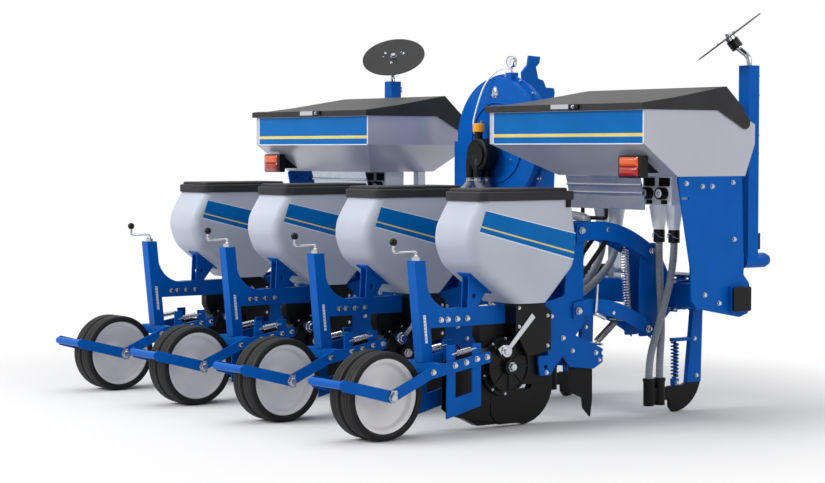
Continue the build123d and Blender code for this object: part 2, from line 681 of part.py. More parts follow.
def row_bracket(x):
    """Head plates that clamp a row to the toolbar's rear face."""
    rear = LINK_LOWER_REAR[0] + LINK_RUN
    low = LINK_LOWER_REAR[1] - LINK_DROP
    high = LINK_UPPER_REAR[1] - LINK_DROP
    bar_rear = BAR_Y - BAR_SIDE / 2
    outline = [
        (rear - 34, low - 34),
        (rear + 40, low - 34),
        (bar_rear, BAR_Z - BAR_SIDE / 2 - 20),
        (bar_rear, BAR_Z + BAR_SIDE / 2 + 20),
        (rear + 60, high + 34),
        (rear - 20, high + 34),
        (rear - 34, (low + high) / 2 + 60),
    ]
    plates = slab(outline, x + BODY_HALF - BODY_PLATE, x + BODY_HALF, 8)
    plates += slab(outline, x - BODY_HALF, x - BODY_HALF + BODY_PLATE, 8)
    inner = BODY_HALF - BODY_PLATE / 2
    reach = BAR_SIDE / 2 + 2 * CLAMP_BOLT_RADIUS + CLAMP_GAP + CLAMP_LIP
    web = block((x - inner, x + inner), (bar_rear - CLAMP_STRAP, bar_rear), (BAR_Z - reach, BAR_Z + reach))
    return one(plates + web + bar_clamp(x, ROW_CLAMP_HALF))


keep("row_brackets", *[row_bracket(x) for x in ROWS])


def arm_spring(x):
    """Pressure spring between the cross pins of the upper and lower arms."""
    top, foot = Vector(x, *SPRING_TOP), Vector(x, *SPRING_FOOT)
    along = (top - foot).normalized()
    clear = SPRING_PIN_RADIUS + SEAT_GAP
    return rod_between(LINK_SPRING_RADIUS, foot + along * clear, top - along * clear)


keep("arm_springs", *[arm_spring(x) for x in ROWS])


# Metering units, openers and clod blades
def meter(x):
    """Round seed-disc case under the beam with the neck up to the hopper."""
    case = rod_x(METER_RADIUS, x - METER_HALF, x + METER_HALF, METER_Y, METER_Z)
    face, radius = x + METER_HALF + COVER_DEPTH, METER_RADIUS - COVER_STEP
    cover = rod_x(radius, x + METER_HALF, face, METER_Y, METER_Z)
    ring = rod_x(radius, face, face + COVER_RING, METER_Y, METER_Z)
    cover += ring - rod_x(radius - COVER_RING, face - 1, face + COVER_RING + 1, METER_Y, METER_Z)
    rib = block((face, face + COVER_RING - 2), (0, radius - 3), (-COVER_RING / 2, COVER_RING / 2))
    for number in range(COVER_RIBS):
        cover += Pos(0, METER_Y, METER_Z) * (Rot(number * 360 / COVER_RIBS, 0, 0) * rib)
    hub = rod_x(COVER_HUB, face, face + COVER_DEPTH, METER_Y, METER_Z)
    neck = slab(NECK_OUTLINE, x + NECK_INNER, x + NECK_OUTER)
    port = rod_y(VACUUM_HOSE_RADIUS + 4, METER_Y, PORT_Y, x - PORT_OFFSET, PORT_Z)
    port += block((x - PORT_OFFSET - 20, x - METER_HALF), (METER_Y - 40, METER_Y + 60), (PORT_Z - 30, PORT_Z + 20))
    return one(case + cover + hub + neck + port)


def opener(x):
    """Seed shoe with its curved knife and a shield on each side."""
    reach = METER_RADIUS + SEAT_GAP
    knife = ThreePointArc(*SHOE_KNIFE)
    back = Polyline(SHOE_KNIFE[-1], *SHOE_OUTLINE, SHOE_KNIFE[0])
    outline = make_face(Wire([knife, *back.edges()]))
    shoe = extrude(Plane.YZ.offset(x - OPENER_HALF) * outline, 2 * OPENER_HALF)
    shield = OPENER_HALF + SHIELD_PLATE
    shoe += slab(SHIELD_OUTLINE, x - shield, x + shield, 8)
    return one(shoe - rod_x(reach, x - METER_HALF, x + METER_HALF, METER_Y, METER_Z))


def clod_blade(x):
    """Clod pusher blade with the cross piece that holds it between the body plates."""
    half = CLOD_THICKNESS / 2
    blade = slab(CLOD_OUTLINE, x - half, x + half)
    inner = BODY_HALF - BODY_PLATE
    for along, up in CLOD_CROSSES:
        blade += block((x - inner, x + inner), along, up)
    return one(blade)


keep("metering_units", *[meter(x) for x in ROWS])
keep("seed_openers", *[opener(x) for x in ROWS])
keep("clod_blades", *[clod_blade(x) for x in ROWS])


def closer(x, side):
    """Furrow closer: two hangers inside the wheel arm joined by a sloping foot."""
    low = x + (ARM_INNER - CLOSER_PLATE if side > 0 else -ARM_INNER)
    return slab(CLOSER_OUTLINE, low, low + CLOSER_PLATE)


keep("furrow_closers", *[closer(x, side) for x in ROWS for side in (-1, 1)])


# Seed hoppers and lids
def seed_profile(inset):
    """Side outline of the seed hopper, drawn in by a wall thickness."""
    points = [(SEED_REAR_TOP, SEED_TOP), *SEED_REAR, *SEED_SLOPE, *SEED_FRONT, (SEED_FRONT_TOP, SEED_TOP)]
    outline = make_face(Polyline(*points, close=True))
    outline = fillet([v for v in outline.vertices() if SEED_BOTTOM + 20 < v.Y < SEED_TOP - 20], SEED_BEND)
    return offset(outline, -inset, kind=Kind.INTERSECTION) if inset else outline


def seed_body(x, inset):
    """Body of the hopper with its edges rounded behind and in front, drawn in by a wall thickness."""
    half = SEED_HALF - inset
    body = extrude(Plane.YZ.offset(x - half) * seed_profile(inset), 2 * half)
    rear_end, front_start = SEED_SLOPE[1][0] - 80, SEED_FRONT[0][0] + 40
    for is_round, radius in ((lambda y: y < rear_end, SEED_ROUND_REAR), (lambda y: y > front_start, SEED_ROUND_FRONT)):
        ends = [body.faces().filter_by(Plane.YZ).sort_by(Axis.X)[place] for place in (0, -1)]
        edges = [edge for face in ends for edge in face.edges() if is_round(edge.center().Y)]
        body = fillet(edges, radius - inset)
    return body


def seed_lug(x, side):
    """Hinge lug on the hopper's front wall with its pin."""
    low, high = sorted((x + side * SEED_LUG[0], x + side * SEED_LUG[1]))
    lug = slab(SEED_LUG_OUTLINE, low, high) + rod_x(SEED_LUG_RADIUS, low, high, SEED_HINGE_Y, SEED_HINGE_Z)
    low, high = sorted((x + side * SEED_LUG[0], x + side * SEED_KNUCKLE[1]))
    return lug + rod_x(SEED_PIN_RADIUS, low, high, SEED_HINGE_Y, SEED_HINGE_Z)


def seed_hopper(x):
    """Hollow seed hopper, open at the top, with the lugs of its lid."""
    inner_half = SEED_HALF - SEED_WALL
    mouth = block((x - inner_half, x + inner_half),
                  (SEED_REAR_TOP + SEED_WALL, SEED_FRONT_TOP - SEED_WALL), (SEED_TOP - 30, SEED_TOP + 10))
    corners = mouth.edges().filter_by(Axis.Z).sort_by(Axis.Y)
    mouth = fillet(corners[:2], SEED_ROUND_REAR - SEED_WALL)
    mouth = fillet(mouth.edges().filter_by(Axis.Z).sort_by(Axis.Y)[-2:], SEED_ROUND_FRONT - SEED_WALL)
    hopper = seed_body(x, 0) + seed_lug(x, -1) + seed_lug(x, 1) - seed_body(x, SEED_WALL) - mouth
    return one(hopper)


def seed_lid(x):
    """Stepped lid over the hopper's rim with the knuckles of its hinge in front."""
    half = SEED_HALF + SEED_LID_OVERHANG
    rear = SEED_REAR_TOP - SEED_LID_OVERHANG
    front = SEED_FRONT_TOP + SEED_LID_OVERHANG
    low = SEED_TOP + SEAT_GAP
    lid = block((x - half, x + half), (rear, front), (low, low + SEED_LID_STEP))
    lid = fillet(lid.edges().filter_by(Axis.Z).sort_by(Axis.Y)[:2], SEED_ROUND_REAR + SEED_LID_OVERHANG)
    lid = fillet(lid.edges().filter_by(Axis.Z).sort_by(Axis.Y)[-2:], SEED_ROUND_FRONT)
    lid = fillet(lid.faces().sort_by(Axis.Z)[-1].edges(), 6)
    inset = SEED_LID_INSET
    panel = block((x - half + inset, x + half - inset), (rear + inset, front - inset),
                  (low + SEED_LID_STEP, low + SEED_LID_HEIGHT))
    panel = fillet(panel.edges().filter_by(Axis.Z), SEED_ROUND_REAR - SEED_LID_OVERHANG)
    panel = fillet(panel.faces().sort_by(Axis.Z)[-1].edges(), 8)
    wall = SEED_LID_OVERHANG + SEED_WALL
    hollow = block((x - half + wall, x + half - wall), (rear + wall, front - wall), (low - 1, low + SEED_LID_HOLLOW))
    hollow = fillet(hollow.edges().filter_by(Axis.Z), SEED_ROUND_REAR - SEED_WALL)
    lid = lid + panel - hollow
    radius = SEED_KNUCKLE_RADIUS
    for side in (-1, 1):
        near, far = sorted((x + side * SEED_KNUCKLE[0], x + side * SEED_KNUCKLE[1]))
        lid += rod_x(radius, near, far, SEED_HINGE_Y, SEED_HINGE_Z)
        lid += block((near, far), (front - 8, SEED_HINGE_Y), (low + 2, SEED_HINGE_Z + radius))
        lid -= rod_x(SEED_PIN_RADIUS + RUN_CLEARANCE, near - 1, far + 1, SEED_HINGE_Y, SEED_HINGE_Z)
    return one(lid)


for number, row_x in enumerate(ROWS, start=1):
    keep(f"seed_hopper_{number}", seed_hopper(row_x))
    keep(f"seed_lid_{number}", seed_lid(row_x))


# Toolbar, side plates and hitch
def square_tube(half_length):
    """Toolbar: hollow square tube."""
    side = BAR_SIDE / 2
    outer = block((-half_length, half_length), (BAR_Y - side, BAR_Y + side), (BAR_Z - side, BAR_Z + side))
    bore = side - BAR_WALL
    inner = block((-half_length - 1, half_length + 1), (BAR_Y - bore, BAR_Y + bore), (BAR_Z - bore, BAR_Z + bore))
    return outer - inner


def bar_cap(side):
    """Plastic cap on the toolbar's end."""
    half = BAR_SIDE / 2
    near, far = side * BAR_HALF, side * (BAR_HALF + CAP_THICKNESS)
    cap = block(sorted((near, far)), (BAR_Y - half, BAR_Y + half), (BAR_Z - half, BAR_Z + half))
    return fillet(cap.edges().filter_by(Axis.X), 10)


keep("toolbar", square_tube(BAR_HALF))
keep("toolbar_caps", *[bar_cap(side) for side in (-1, 1)])


def side_plate(side):
    """Plate that carries a fertiliser hopper on the toolbar's end."""
    outline = [(SIDE_TOP[0], HOPPER_BOTTOM), (SIDE_TOP[1], HOPPER_BOTTOM), *SIDE_OUTLINE]
    near, far = sorted((side * (FRAME_HALF - SIDE_PLATE), side * FRAME_HALF))
    half = BAR_SIDE / 2
    hole = block((near - 1, far + 1), (BAR_Y - half, BAR_Y + half), (BAR_Z - half, BAR_Z + half))
    for y, z, radius in SIDE_HOLES:
        hole += rod_x(radius, near - 1, far + 1, y, z)
    y, z, length, width = SIDE_SLOT
    hole += extrude(Plane.YZ.offset(near - 1) * (Pos(y, z) * SlotOverall(length, width)), SIDE_PLATE + 2)
    return one(slab(outline, near, far, 12) - hole)


keep("side_plates", *[side_plate(side) for side in (-1, 1)])


def inner_leg(side):
    """Leg under a hopper's inner end with the rail along the hopper's outlets."""
    x = side * (HOPPER_OUTLET_INNER + LEG_WIDTH / 2)
    rear = BAR_Y - BAR_SIDE / 2
    half = LEG_WIDTH / 2
    leg = block((x - half, x + half), (rear, rear + LEG_DEPTH), (BAR_Z + BAR_SIDE / 2, HOPPER_BOTTOM))
    leg += block((x - half, x + half), (RAIL_Y, rear + 5), (RAIL_Z, RAIL_Z + RAIL_HEIGHT))
    low, high = sorted((x, side * RAIL_END))
    leg += block((low, high), (RAIL_Y, RAIL_Y + RAIL_DEPTH), (RAIL_Z, RAIL_Z + RAIL_HEIGHT))
    return one(leg)


keep("hopper_legs", *[inner_leg(side) for side in (-1, 1)])


def lower_hitch(side):
    """Plate and lower-link pin on one side."""
    x = side * LOWER_PIN_SPAN / 2
    half = BAR_SIDE / 2
    front = BAR_Y + half
    outline = [
        (front, BAR_Z - half), (front, BAR_Z + half), (LOWER_PIN_Y, LOWER_PIN_Z + HITCH_EYE),
        (LOWER_PIN_Y + HITCH_EYE, LOWER_PIN_Z + HITCH_EYE), (LOWER_PIN_Y + HITCH_EYE, LOWER_PIN_Z - HITCH_EYE),
        (LOWER_PIN_Y, LOWER_PIN_Z - HITCH_EYE),
    ]
    plate = slab(outline, x - HITCH_PLATE / 2, x + HITCH_PLATE / 2, 8)
    low, high = sorted((x, x + side * (HITCH_PLATE / 2 + LOWER_PIN_LENGTH)))
    return one(plate + rod_x(LOWER_PIN_RADIUS, low, high, LOWER_PIN_Y, LOWER_PIN_Z))


def mast():
    """Pair of mast plates with the top-link bore."""
    half = BAR_SIDE / 2
    front = BAR_Y + half
    top = LOWER_PIN_Z + MAST_HEIGHT
    outline = [
        (front, BAR_Z - half), (front, top - 30), (MAST_PIN_Y - 30, top + HITCH_EYE),
        (MAST_PIN_Y + HITCH_EYE, top + HITCH_EYE), (MAST_PIN_Y + HITCH_EYE, top - HITCH_EYE),
        (front + 130, BAR_Z + half), (front + 110, BAR_Z - half),
    ]
    plates = slab(outline, MAST_HALF - MAST_PLATE, MAST_HALF, 12)
    plates += slab(outline, -MAST_HALF, -MAST_HALF + MAST_PLATE, 12)
    inner = MAST_HALF - MAST_PLATE / 2
    plates += block((-inner, inner), (front, front + 14), (BAR_Z - half + 15, BAR_Z + half))
    return one(plates - rod_x(TOP_PIN_RADIUS, -MAST_HALF - 5, MAST_HALF + 5, MAST_PIN_Y, top))


keep("lower_hitches", *[lower_hitch(side) for side in (-1, 1)])
keep("hitch_mast", mast())


# Fertiliser hoppers and lids
def hopper_shell(inset):
    """Outer or inner body of a fertiliser hopper: a box with a sloping deck on a tapering bottom."""
    low_x, high_x = HOPPER_INNER + inset, FRAME_HALF - inset
    rear, front = HOPPER_REAR + inset, HOPPER_FRONT - inset
    top = HOPPER_TOP + (10 if inset else 0)
    upper = slab(
        [
            (rear, HOPPER_CORNER), (front, HOPPER_CORNER), (front, HOPPER_DECK_FRONT_Z - inset),
            (HOPPER_DECK_REAR - inset, HOPPER_TOP - inset), (HOPPER_DECK_REAR - inset, top), (rear, top),
        ] if inset else [
            (rear, HOPPER_CORNER), (front, HOPPER_CORNER), (front, HOPPER_DECK_FRONT_Z),
            (HOPPER_DECK_REAR, HOPPER_TOP), (rear, HOPPER_TOP),
        ],
        low_x, high_x,
    )
    upper_rect = Pos((low_x + high_x) / 2, (rear + front) / 2, HOPPER_CORNER) * Rectangle(high_x - low_x, front - rear)
    outlet_low = HOPPER_OUTLET_INNER + inset
    outlet_rear, outlet_front = HOPPER_OUTLET_REAR + inset, HOPPER_OUTLET_FRONT - inset
    lower_rect = Pos((outlet_low + high_x) / 2, (outlet_rear + outlet_front) / 2, HOPPER_BOTTOM + inset) * Rectangle(
        high_x - outlet_low, outlet_front - outlet_rear)
    return upper + loft([lower_rect, upper_rect])


def fert_hopper(side):
    """Hollow fertiliser hopper, open at the top."""
    hinge = rod_x(LID_PIN_RADIUS + RUN_CLEARANCE, HOPPER_INNER - 1, FRAME_HALF + 1, LID_HINGE_Y, LID_HINGE_Z)
    hopper = one(hopper_shell(0) - hopper_shell(HOPPER_WALL) - hinge)
    return hopper if side > 0 else mirror_x(hopper)


def lid_profile(is_band):
    """Outline of the lid along and up: the whole roof, or the part up to the band's height."""
    base = HOPPER_TOP + SEAT_GAP
    line = LID_ROOF
    if is_band:
        (rear, low), (shoulder, high), (ridge, top), (front, foot) = LID_ROOF
        line = ((rear, low), (rear + (LID_BAND - low) / (high - low) * (shoulder - rear), LID_BAND),
                (ridge + (top - LID_BAND) / (top - foot) * (front - ridge), LID_BAND), (front, foot))
    return [(line[0][0], base), *[(y, base + rise) for y, rise in line], (line[-1][0], base)]


def lid_volume(hip, gable, is_band, inset):
    """Band or hipped roof of a lid between its two ends, drawn in by a wall thickness."""
    low, high = (hip + LID_END_SEAT, gable - LID_END_SEAT) if inset else (hip, gable)
    side = make_face(Polyline(*lid_profile(is_band), close=True))
    side = offset(side, -inset, kind=Kind.INTERSECTION) if inset else side
    volume = extrude(Plane.YZ.offset(low) * side, high - low)
    if is_band:
        return volume
    base = HOPPER_TOP + SEAT_GAP
    end = make_face(Polyline(
        (hip + LID_HIP_LOW, base), (hip + LID_HIP_LOW, base + LID_BAND), (hip + LID_HIP_HIGH, base + LID_ROOF[2][1]),
        (gable, base + LID_ROOF[2][1]), (gable, base), close=True))
    end = offset(end, -inset, kind=Kind.INTERSECTION) if inset else end
    return volume & extrude(Plane.XZ.offset(-HOPPER_FRONT) * end, HOPPER_FRONT)


def lid_arm(low, high, is_band):
    """End plate of a lid that reaches down past the hopper's end wall to the hinge."""
    eye = LID_EYE_RADIUS / math.sqrt(2)
    outline = lid_profile(is_band)[:-2]
    outline += [(LID_HINGE_Y + eye, LID_HINGE_Z + eye), (LID_HINGE_Y, LID_HINGE_Z),
                (LID_HINGE_Y - LID_EYE_RADIUS * 0.46, LID_HINGE_Z - LID_EYE_RADIUS * 0.88),
                (LID_ARM_REAR, HOPPER_TOP + SEAT_GAP)]
    return slab(outline, low, high) + rod_x(LID_EYE_RADIUS, low, high, LID_HINGE_Y, LID_HINGE_Z)


def fert_lid(hip, gable):
    """Lid over a hopper between its hipped end and its gable, with the pins of its hinge."""
    low = HOPPER_TOP + SEAT_GAP
    rear = LID_ROOF[0][0] + LID_SEAT
    lid = lid_volume(hip, gable, True, 0) + lid_volume(hip, gable, False, 0)
    lid -= lid_volume(hip, gable, True, LID_WALL) + lid_volume(hip, gable, False, LID_WALL)
    lid -= block((hip + LID_END_SEAT, gable - LID_END_SEAT), (rear, HOPPER_DECK_REAR - HOPPER_WALL),
                 (low - 1, low + LID_WALL + 1))
    lid += lid_arm(hip, hip + LID_WALL, True) + lid_arm(gable - LID_WALL, gable, False)
    for near, far in ((hip, hip + LID_END_SEAT + LID_WALL), (gable - LID_END_SEAT - LID_WALL, gable)):
        lid += rod_x(LID_PIN_RADIUS, near, far, LID_HINGE_Y, LID_HINGE_Z)
    return one(lid)


LID_ENDS = {"left": (-FRAME_HALF - LID_END, LID_END - HOPPER_INNER), "right": (HOPPER_INNER - LID_END, FRAME_HALF + LID_END)}
for name, sign in SIDES.items():
    keep(f"fert_hopper_{name}", fert_hopper(sign))
    keep(f"fert_lid_{name}", fert_lid(*LID_ENDS[name]))


def doser(x):
    """Pair of metering boxes under a hopper's outlet, with their setting knobs."""
    box = block((x - DOSER_HALF, x + DOSER_HALF), (FERT_DOSER_Y - 60, FERT_DOSER_Y + 60),
                (FERT_DOSER_LOW, HOPPER_BOTTOM))
    for place in (-1, 1):
        box += rod_y(26, FERT_DOSER_Y - 96, FERT_DOSER_Y - 60, x + place * FERT_FUNNEL_PITCH / 2, FERT_DOSER_LOW + 52)
    return one(box)


def funnel(x):
    """Funnel under a metering box."""
    cone = Pos(x, FERT_DOSER_Y, FERT_FUNNEL_LOW) * Cone(
        FERT_HOSE_RADIUS + 6, 42, FERT_DOSER_LOW - FERT_FUNNEL_LOW, align=(Align.CENTER, Align.CENTER, Align.MIN))
    return cone


def collar(x):
    """Clamp collar between funnel and hose."""
    return Pos(x, FERT_DOSER_Y, FERT_COLLAR_LOW) * Cylinder(
        FERT_HOSE_RADIUS + 8, FERT_FUNNEL_LOW - FERT_COLLAR_LOW, align=(Align.CENTER, Align.CENTER, Align.MIN))


def fert_hose(doser_x, place, shoe_x):
    """Hose from a collar down to one of the opener's boots."""
    side = outward(shoe_x)
    foot, bend, out = HOSE_FEET[0 if place * side < 0 else 1]
    top = doser_x + place * FERT_FUNNEL_PITCH / 2
    return hose(FERT_HOSE_RADIUS, [
        (top, FERT_DOSER_Y, FERT_COLLAR_LOW),
        (top, FERT_DOSER_Y, FERT_COLLAR_LOW - HOSE_DROP),
        (shoe_x + side * out, bend, HOSE_BEND_Z),
        (shoe_x, foot, HOSE_FOOT_Z + HOSE_BOOT_RUN),
        (shoe_x, foot, HOSE_FOOT_Z),
    ])


FUNNELS = [x + place * FERT_FUNNEL_PITCH / 2 for x in FERT_DOSER_X for place in (-1, 1)]
keep("fert_dosers", *[doser(x) for x in FERT_DOSER_X])
keep("fert_funnels", *[funnel(x) for x in FUNNELS])
keep("fert_collars", *[collar(x) for x in FUNNELS])
keep("fert_hoses", *[fert_hose(doser_x, place, shoe_x)
                     for doser_x, shoe_x in zip(FERT_DOSER_X, FERT_SHOES) for place in (-1, 1)])


# Fertiliser openers
def fert_leg(x):
    """Leg on the toolbar's front face with the arm above its release spring."""
    half = FERT_LEG_WIDTH / 2
    leg = slab(FERT_LEG_OUTLINE, x - half, x + half)
    rear = FERT_SPRING_Y - FERT_SPRING_RADIUS
    arm = block((x - half, x + half), (rear, BAR_Y + BAR_SIDE / 2), (FERT_SPRING_HIGH, FERT_SPRING_HIGH + FERT_ARM_HEIGHT))
    return one(leg + arm + bar_clamp(x, LEG_CLAMP_HALF))


def fert_opener(x):
    """Curved shoe under the leg with the two boots of the hoses behind it."""
    half = FERT_SHOE_WIDTH / 2
    knife = TangentArc(FERT_SHOE_TIP, FERT_SHOE_HEAD, tangent=(1, 0))
    back = Polyline(FERT_SHOE_TIP, *FERT_SHOE_REAR, FERT_SHOE_HEAD)
    shoe = extrude(Plane.YZ.offset(x - half) * make_face(Wire([knife, *back.edges()])), 2 * half)
    feet = sorted(foot for foot, *_ in HOSE_FEET)
    shoe += block((x - half, x + half), (feet[0], FERT_SHOE_REAR[0][0] + half), FERT_BOOT_WEB)
    for foot in feet:
        shoe += Pos(x, foot, FERT_BOOT_LOW) * Cylinder(
            FERT_BOOT_RADIUS, HOSE_FOOT_Z - FERT_BOOT_LOW, align=(Align.CENTER, Align.CENTER, Align.MIN))
    return one(shoe)


def fert_spring(x):
    """Release spring between the leg's arm and the fork on the shoe."""
    half, y = FERT_FORK_HALF, FERT_SPRING_Y
    fork = block((x - half, x + half), (y - half, y + half), (FERT_SHOE_REAR[1][1], FERT_SPRING_LOW))
    return one(fork + rod_between(FERT_SPRING_RADIUS, (x, y, FERT_SPRING_LOW), (x, y, FERT_SPRING_HIGH - SEAT_GAP)))


keep("fert_legs", *[fert_leg(x) for x in FERT_SHOES])
keep("fert_openers", *[fert_opener(x) for x in FERT_SHOES])
keep("fert_springs", *[fert_spring(x) for x in FERT_SHOES])


# Fan, vacuum and power shaft
def fan():
    """Snail-shaped fan housing, open at its outlet."""
    front = FAN_REAR_Y + FAN_DEPTH
    middle = FAN_REAR_Y + FAN_DEPTH / 2
    case = rod_y(FAN_RADIUS, FAN_REAR_Y, front, 0, FAN_Z)
    case += rod_y(FAN_FLANGE_RADIUS, middle - FAN_FLANGE / 2, middle + FAN_FLANGE / 2, 0, FAN_Z)
    ridge = rod_y(FAN_RIDGE[1], FAN_REAR_Y - FAN_RIDGE_DEPTH, FAN_REAR_Y, 0, FAN_Z)
    case += ridge - rod_y(FAN_RIDGE[0], FAN_REAR_Y - FAN_RIDGE_DEPTH - 1, FAN_REAR_Y + 1, 0, FAN_Z)
    outlet = block(FAN_OUTLET, (FAN_REAR_Y, front), (FAN_Z - FAN_OUTLET_DROP, FAN_Z))
    pad = block(FAN_PAD, (middle - FAN_DEPTH / 4, middle + FAN_DEPTH / 4),
                (FAN_Z + FAN_RIDGE[1], FAN_Z + FAN_RADIUS + FAN_PAD_RISE))
    sheet = FAN_SHEET
    space = rod_y(FAN_RADIUS - sheet, FAN_REAR_Y + sheet, front - sheet, 0, FAN_Z)
    space += block((FAN_OUTLET[0] + sheet, FAN_OUTLET[1] - sheet), (FAN_REAR_Y + sheet, front - sheet),
                   (FAN_Z - FAN_OUTLET_DROP - 1, FAN_Z - sheet))
    return one(case + outlet + pad - space)


def belt_case():
    """Belt guard between the fan and the mast, with the nose that holds the power shaft."""
    rear = FAN_REAR_Y + FAN_DEPTH
    front = BAR_Y + BAR_SIDE / 2
    half = BELT_CASE_RADIUS
    case = rod_y(half, rear, front, 0, FAN_Z) + rod_y(half, rear, front, 0, PTO_Z)
    case += block((-half, half), (rear, front), (PTO_Z, FAN_Z))
    case += rod_y(PTO_NOSE_RADIUS, front, front + PTO_NOSE, 0, PTO_Z)
    return one(case - rod_y(PTO_JOURNAL_RADIUS + RUN_CLEARANCE, front + PTO_SEAT, front + PTO_NOSE + 1, 0, PTO_Z))


def pto():
    """Power input shaft: a journal in the nose and the free stub."""
    front = BAR_Y + BAR_SIDE / 2
    end = front + PTO_NOSE
    journal = rod_y(PTO_JOURNAL_RADIUS, front + PTO_SEAT + SEAT_GAP, end, 0, PTO_Z)
    return one(journal + rod_y(PTO_RADIUS, end, end + PTO_LENGTH, 0, PTO_Z))


keep("fan_housing", fan())
keep("belt_case", belt_case())
keep("pto_shaft", pto())


def manifold():
    """Drum on the fan's rear face with an outlet for each row and the neck of the relief cap."""
    x, y = MANIFOLD
    rear, front = y - DRUM_DEPTH / 2, y + DRUM_DEPTH / 2
    body = rod_y(DRUM_RADIUS, rear, front, DRUM_X, DRUM_Z)
    body = fillet(body.edges().filter_by(GeomType.CIRCLE), DRUM_DEPTH / 8)
    body += rod_y(DRUM_BOSS_RADIUS, rear - DRUM_BOSS_DEPTH, y, DRUM_X, DRUM_Z)
    body += rod_y(INLET_RADIUS, y, FAN_REAR_Y, DRUM_X, DRUM_Z)
    upright = (Align.CENTER, Align.CENTER, Align.MIN)
    for outlet in MANIFOLD_OUTLETS:
        body += Pos(x + outlet[0], y + outlet[1], OUTLET_FOOT) * Cylinder(
            VACUUM_HOSE_RADIUS + 3, DRUM_Z - OUTLET_FOOT - DRUM_RADIUS / 4, align=upright)
    return one(body + Pos(x, y, DRUM_Z) * Cylinder(NECK_RADIUS, CAP_LOW - DRUM_Z, align=upright))


def relief_cap():
    """Relief valve cap on the manifold's neck."""
    return Pos(*MANIFOLD, CAP_LOW) * Cylinder(CAP_RADIUS, CAP_HEIGHT, align=(Align.CENTER, Align.CENTER, Align.MIN))


def vacuum_hose(outlet, x):
    """Hose from the manifold to a row's metering unit."""
    top = (MANIFOLD[0] + outlet[0], MANIFOLD[1] + outlet[1], OUTLET_FOOT)
    end = (x - PORT_OFFSET, PORT_Y, PORT_Z)
    return hose(VACUUM_HOSE_RADIUS, [
        top,
        (top[0], top[1], top[2] - HOSE_TURN[0]),
        ((top[0] + end[0]) / 2, outlet[2], HOSE_CROSSING[0]),
        (end[0] + outward(top[0] - end[0]) * HOSE_APPROACH, outlet[2] - HOSE_TURN[1], HOSE_CROSSING[1]),
        (end[0], outlet[2] - HOSE_TURN[2], HOSE_CROSSING[2]),
        *[(end[0], y, z) for y, z in HOSE_ROW],
        end,
    ])


keep("vacuum_manifold", manifold())
keep("relief_cap", relief_cap())
keep("vacuum_hoses", *[vacuum_hose(outlet, x) for outlet, x in zip(MANIFOLD_OUTLETS, ROWS)])


def gauge():
    """Vacuum gauge on its stem on top of the fan housing."""
    foot = FAN_Z + FAN_RADIUS + FAN_PAD_RISE
    y = FAN_REAR_Y + FAN_DEPTH / 2
    stem = Pos(GAUGE_X, y, foot) * Cylinder(GAUGE_STEM, GAUGE_Z - foot, align=(Align.CENTER, Align.CENTER, Align.MIN))
    return one(stem + rod_y(GAUGE_RADIUS, y - GAUGE_HALF, y + GAUGE_HALF, GAUGE_X, GAUGE_Z))


keep("vacuum_gauge", gauge())


# Cross shaft of the metering drive
def shaft_bearing(x):
    """Bearing block on top of the toolbar."""
    low = BAR_Z + BAR_SIDE / 2
    bearing = block((x - BEARING_HALF, x + BEARING_HALF), (SHAFT_Y - BEARING_DEPTH, SHAFT_Y + BEARING_DEPTH),
                    (low, SHAFT_Z + BEARING_RISE))
    return one(bearing - rod_x(SHAFT_FLATS / math.sqrt(3) + RUN_CLEARANCE, x - 2 * BEARING_HALF, x + 2 * BEARING_HALF,
                             SHAFT_Y, SHAFT_Z))


def drive_shaft():
    """Six-sided shaft along the toolbar."""
    outline = Plane.YZ.offset(-SHAFT_HALF) * (Pos(SHAFT_Y, SHAFT_Z) * RegularPolygon(SHAFT_FLATS / math.sqrt(3), 6))
    return extrude(outline, 2 * SHAFT_HALF)


keep("shaft_bearings", *[shaft_bearing(x) for x in BEARING_X])
keep("drive_shaft", drive_shaft())


# Tail lamps
def slope_y(z):
    """Place of the hopper's sloping rear wall at a height."""
    share = (HOPPER_CORNER - z) / (HOPPER_CORNER - HOPPER_BOTTOM)
    return HOPPER_REAR + share * (HOPPER_OUTLET_REAR - HOPPER_REAR)


def lamp_bracket(side):
    """Bracket on the hopper's sloping rear wall."""
    x = side * LAMP_X
    outline = [(LAMP_Y, LAMP_LOW), (LAMP_Y, LAMP_HIGH), (slope_y(LAMP_HIGH), LAMP_HIGH), (slope_y(LAMP_LOW), LAMP_LOW)]
    return slab(outline, x - 20, x + 20)


def lamp(side):
    """Tail lamp body on its bracket."""
    x = side * LAMP_X
    body = block((x - LAMP_HALF, x + LAMP_HALF), (LAMP_Y - LAMP_DEPTH, LAMP_Y), (LAMP_LOW - 20, LAMP_HIGH + 12))
    return fillet(body.edges().filter_by(Axis.Y), 8)


keep("lamp_brackets", *[lamp_bracket(side) for side in (-1, 1)])
keep("tail_lamps", *[lamp(side) for side in (-1, 1)])


# Row markers
def marker_bracket(side):
    """Bracket and pivot pin in front of the toolbar."""
    x = side * MARKER_X
    front = BAR_Y + BAR_SIDE / 2
    rear_face = MARKER_Y - MARKER_SIDE / 2 - 12
    arm = slab(
        [(front, BAR_Z - 50), (front, BAR_Z + 54), (rear_face - 20, MARKER_PIVOT_Z + 40),
         (rear_face, MARKER_PIVOT_Z + 40), (rear_face, MARKER_PIVOT_Z - 40), (front + 60, BAR_Z - 50)],
        x - 20, x + 20,
    )
    pin = rod_y(MARKER_PIN_RADIUS, rear_face, MARKER_PIN_FRONT, x, MARKER_PIVOT_Z)
    head = rod_y(MARKER_PIN_RADIUS + 10, MARKER_PIN_FRONT - 14, MARKER_PIN_FRONT, x, MARKER_PIVOT_Z)
    return one(arm + pin + head)


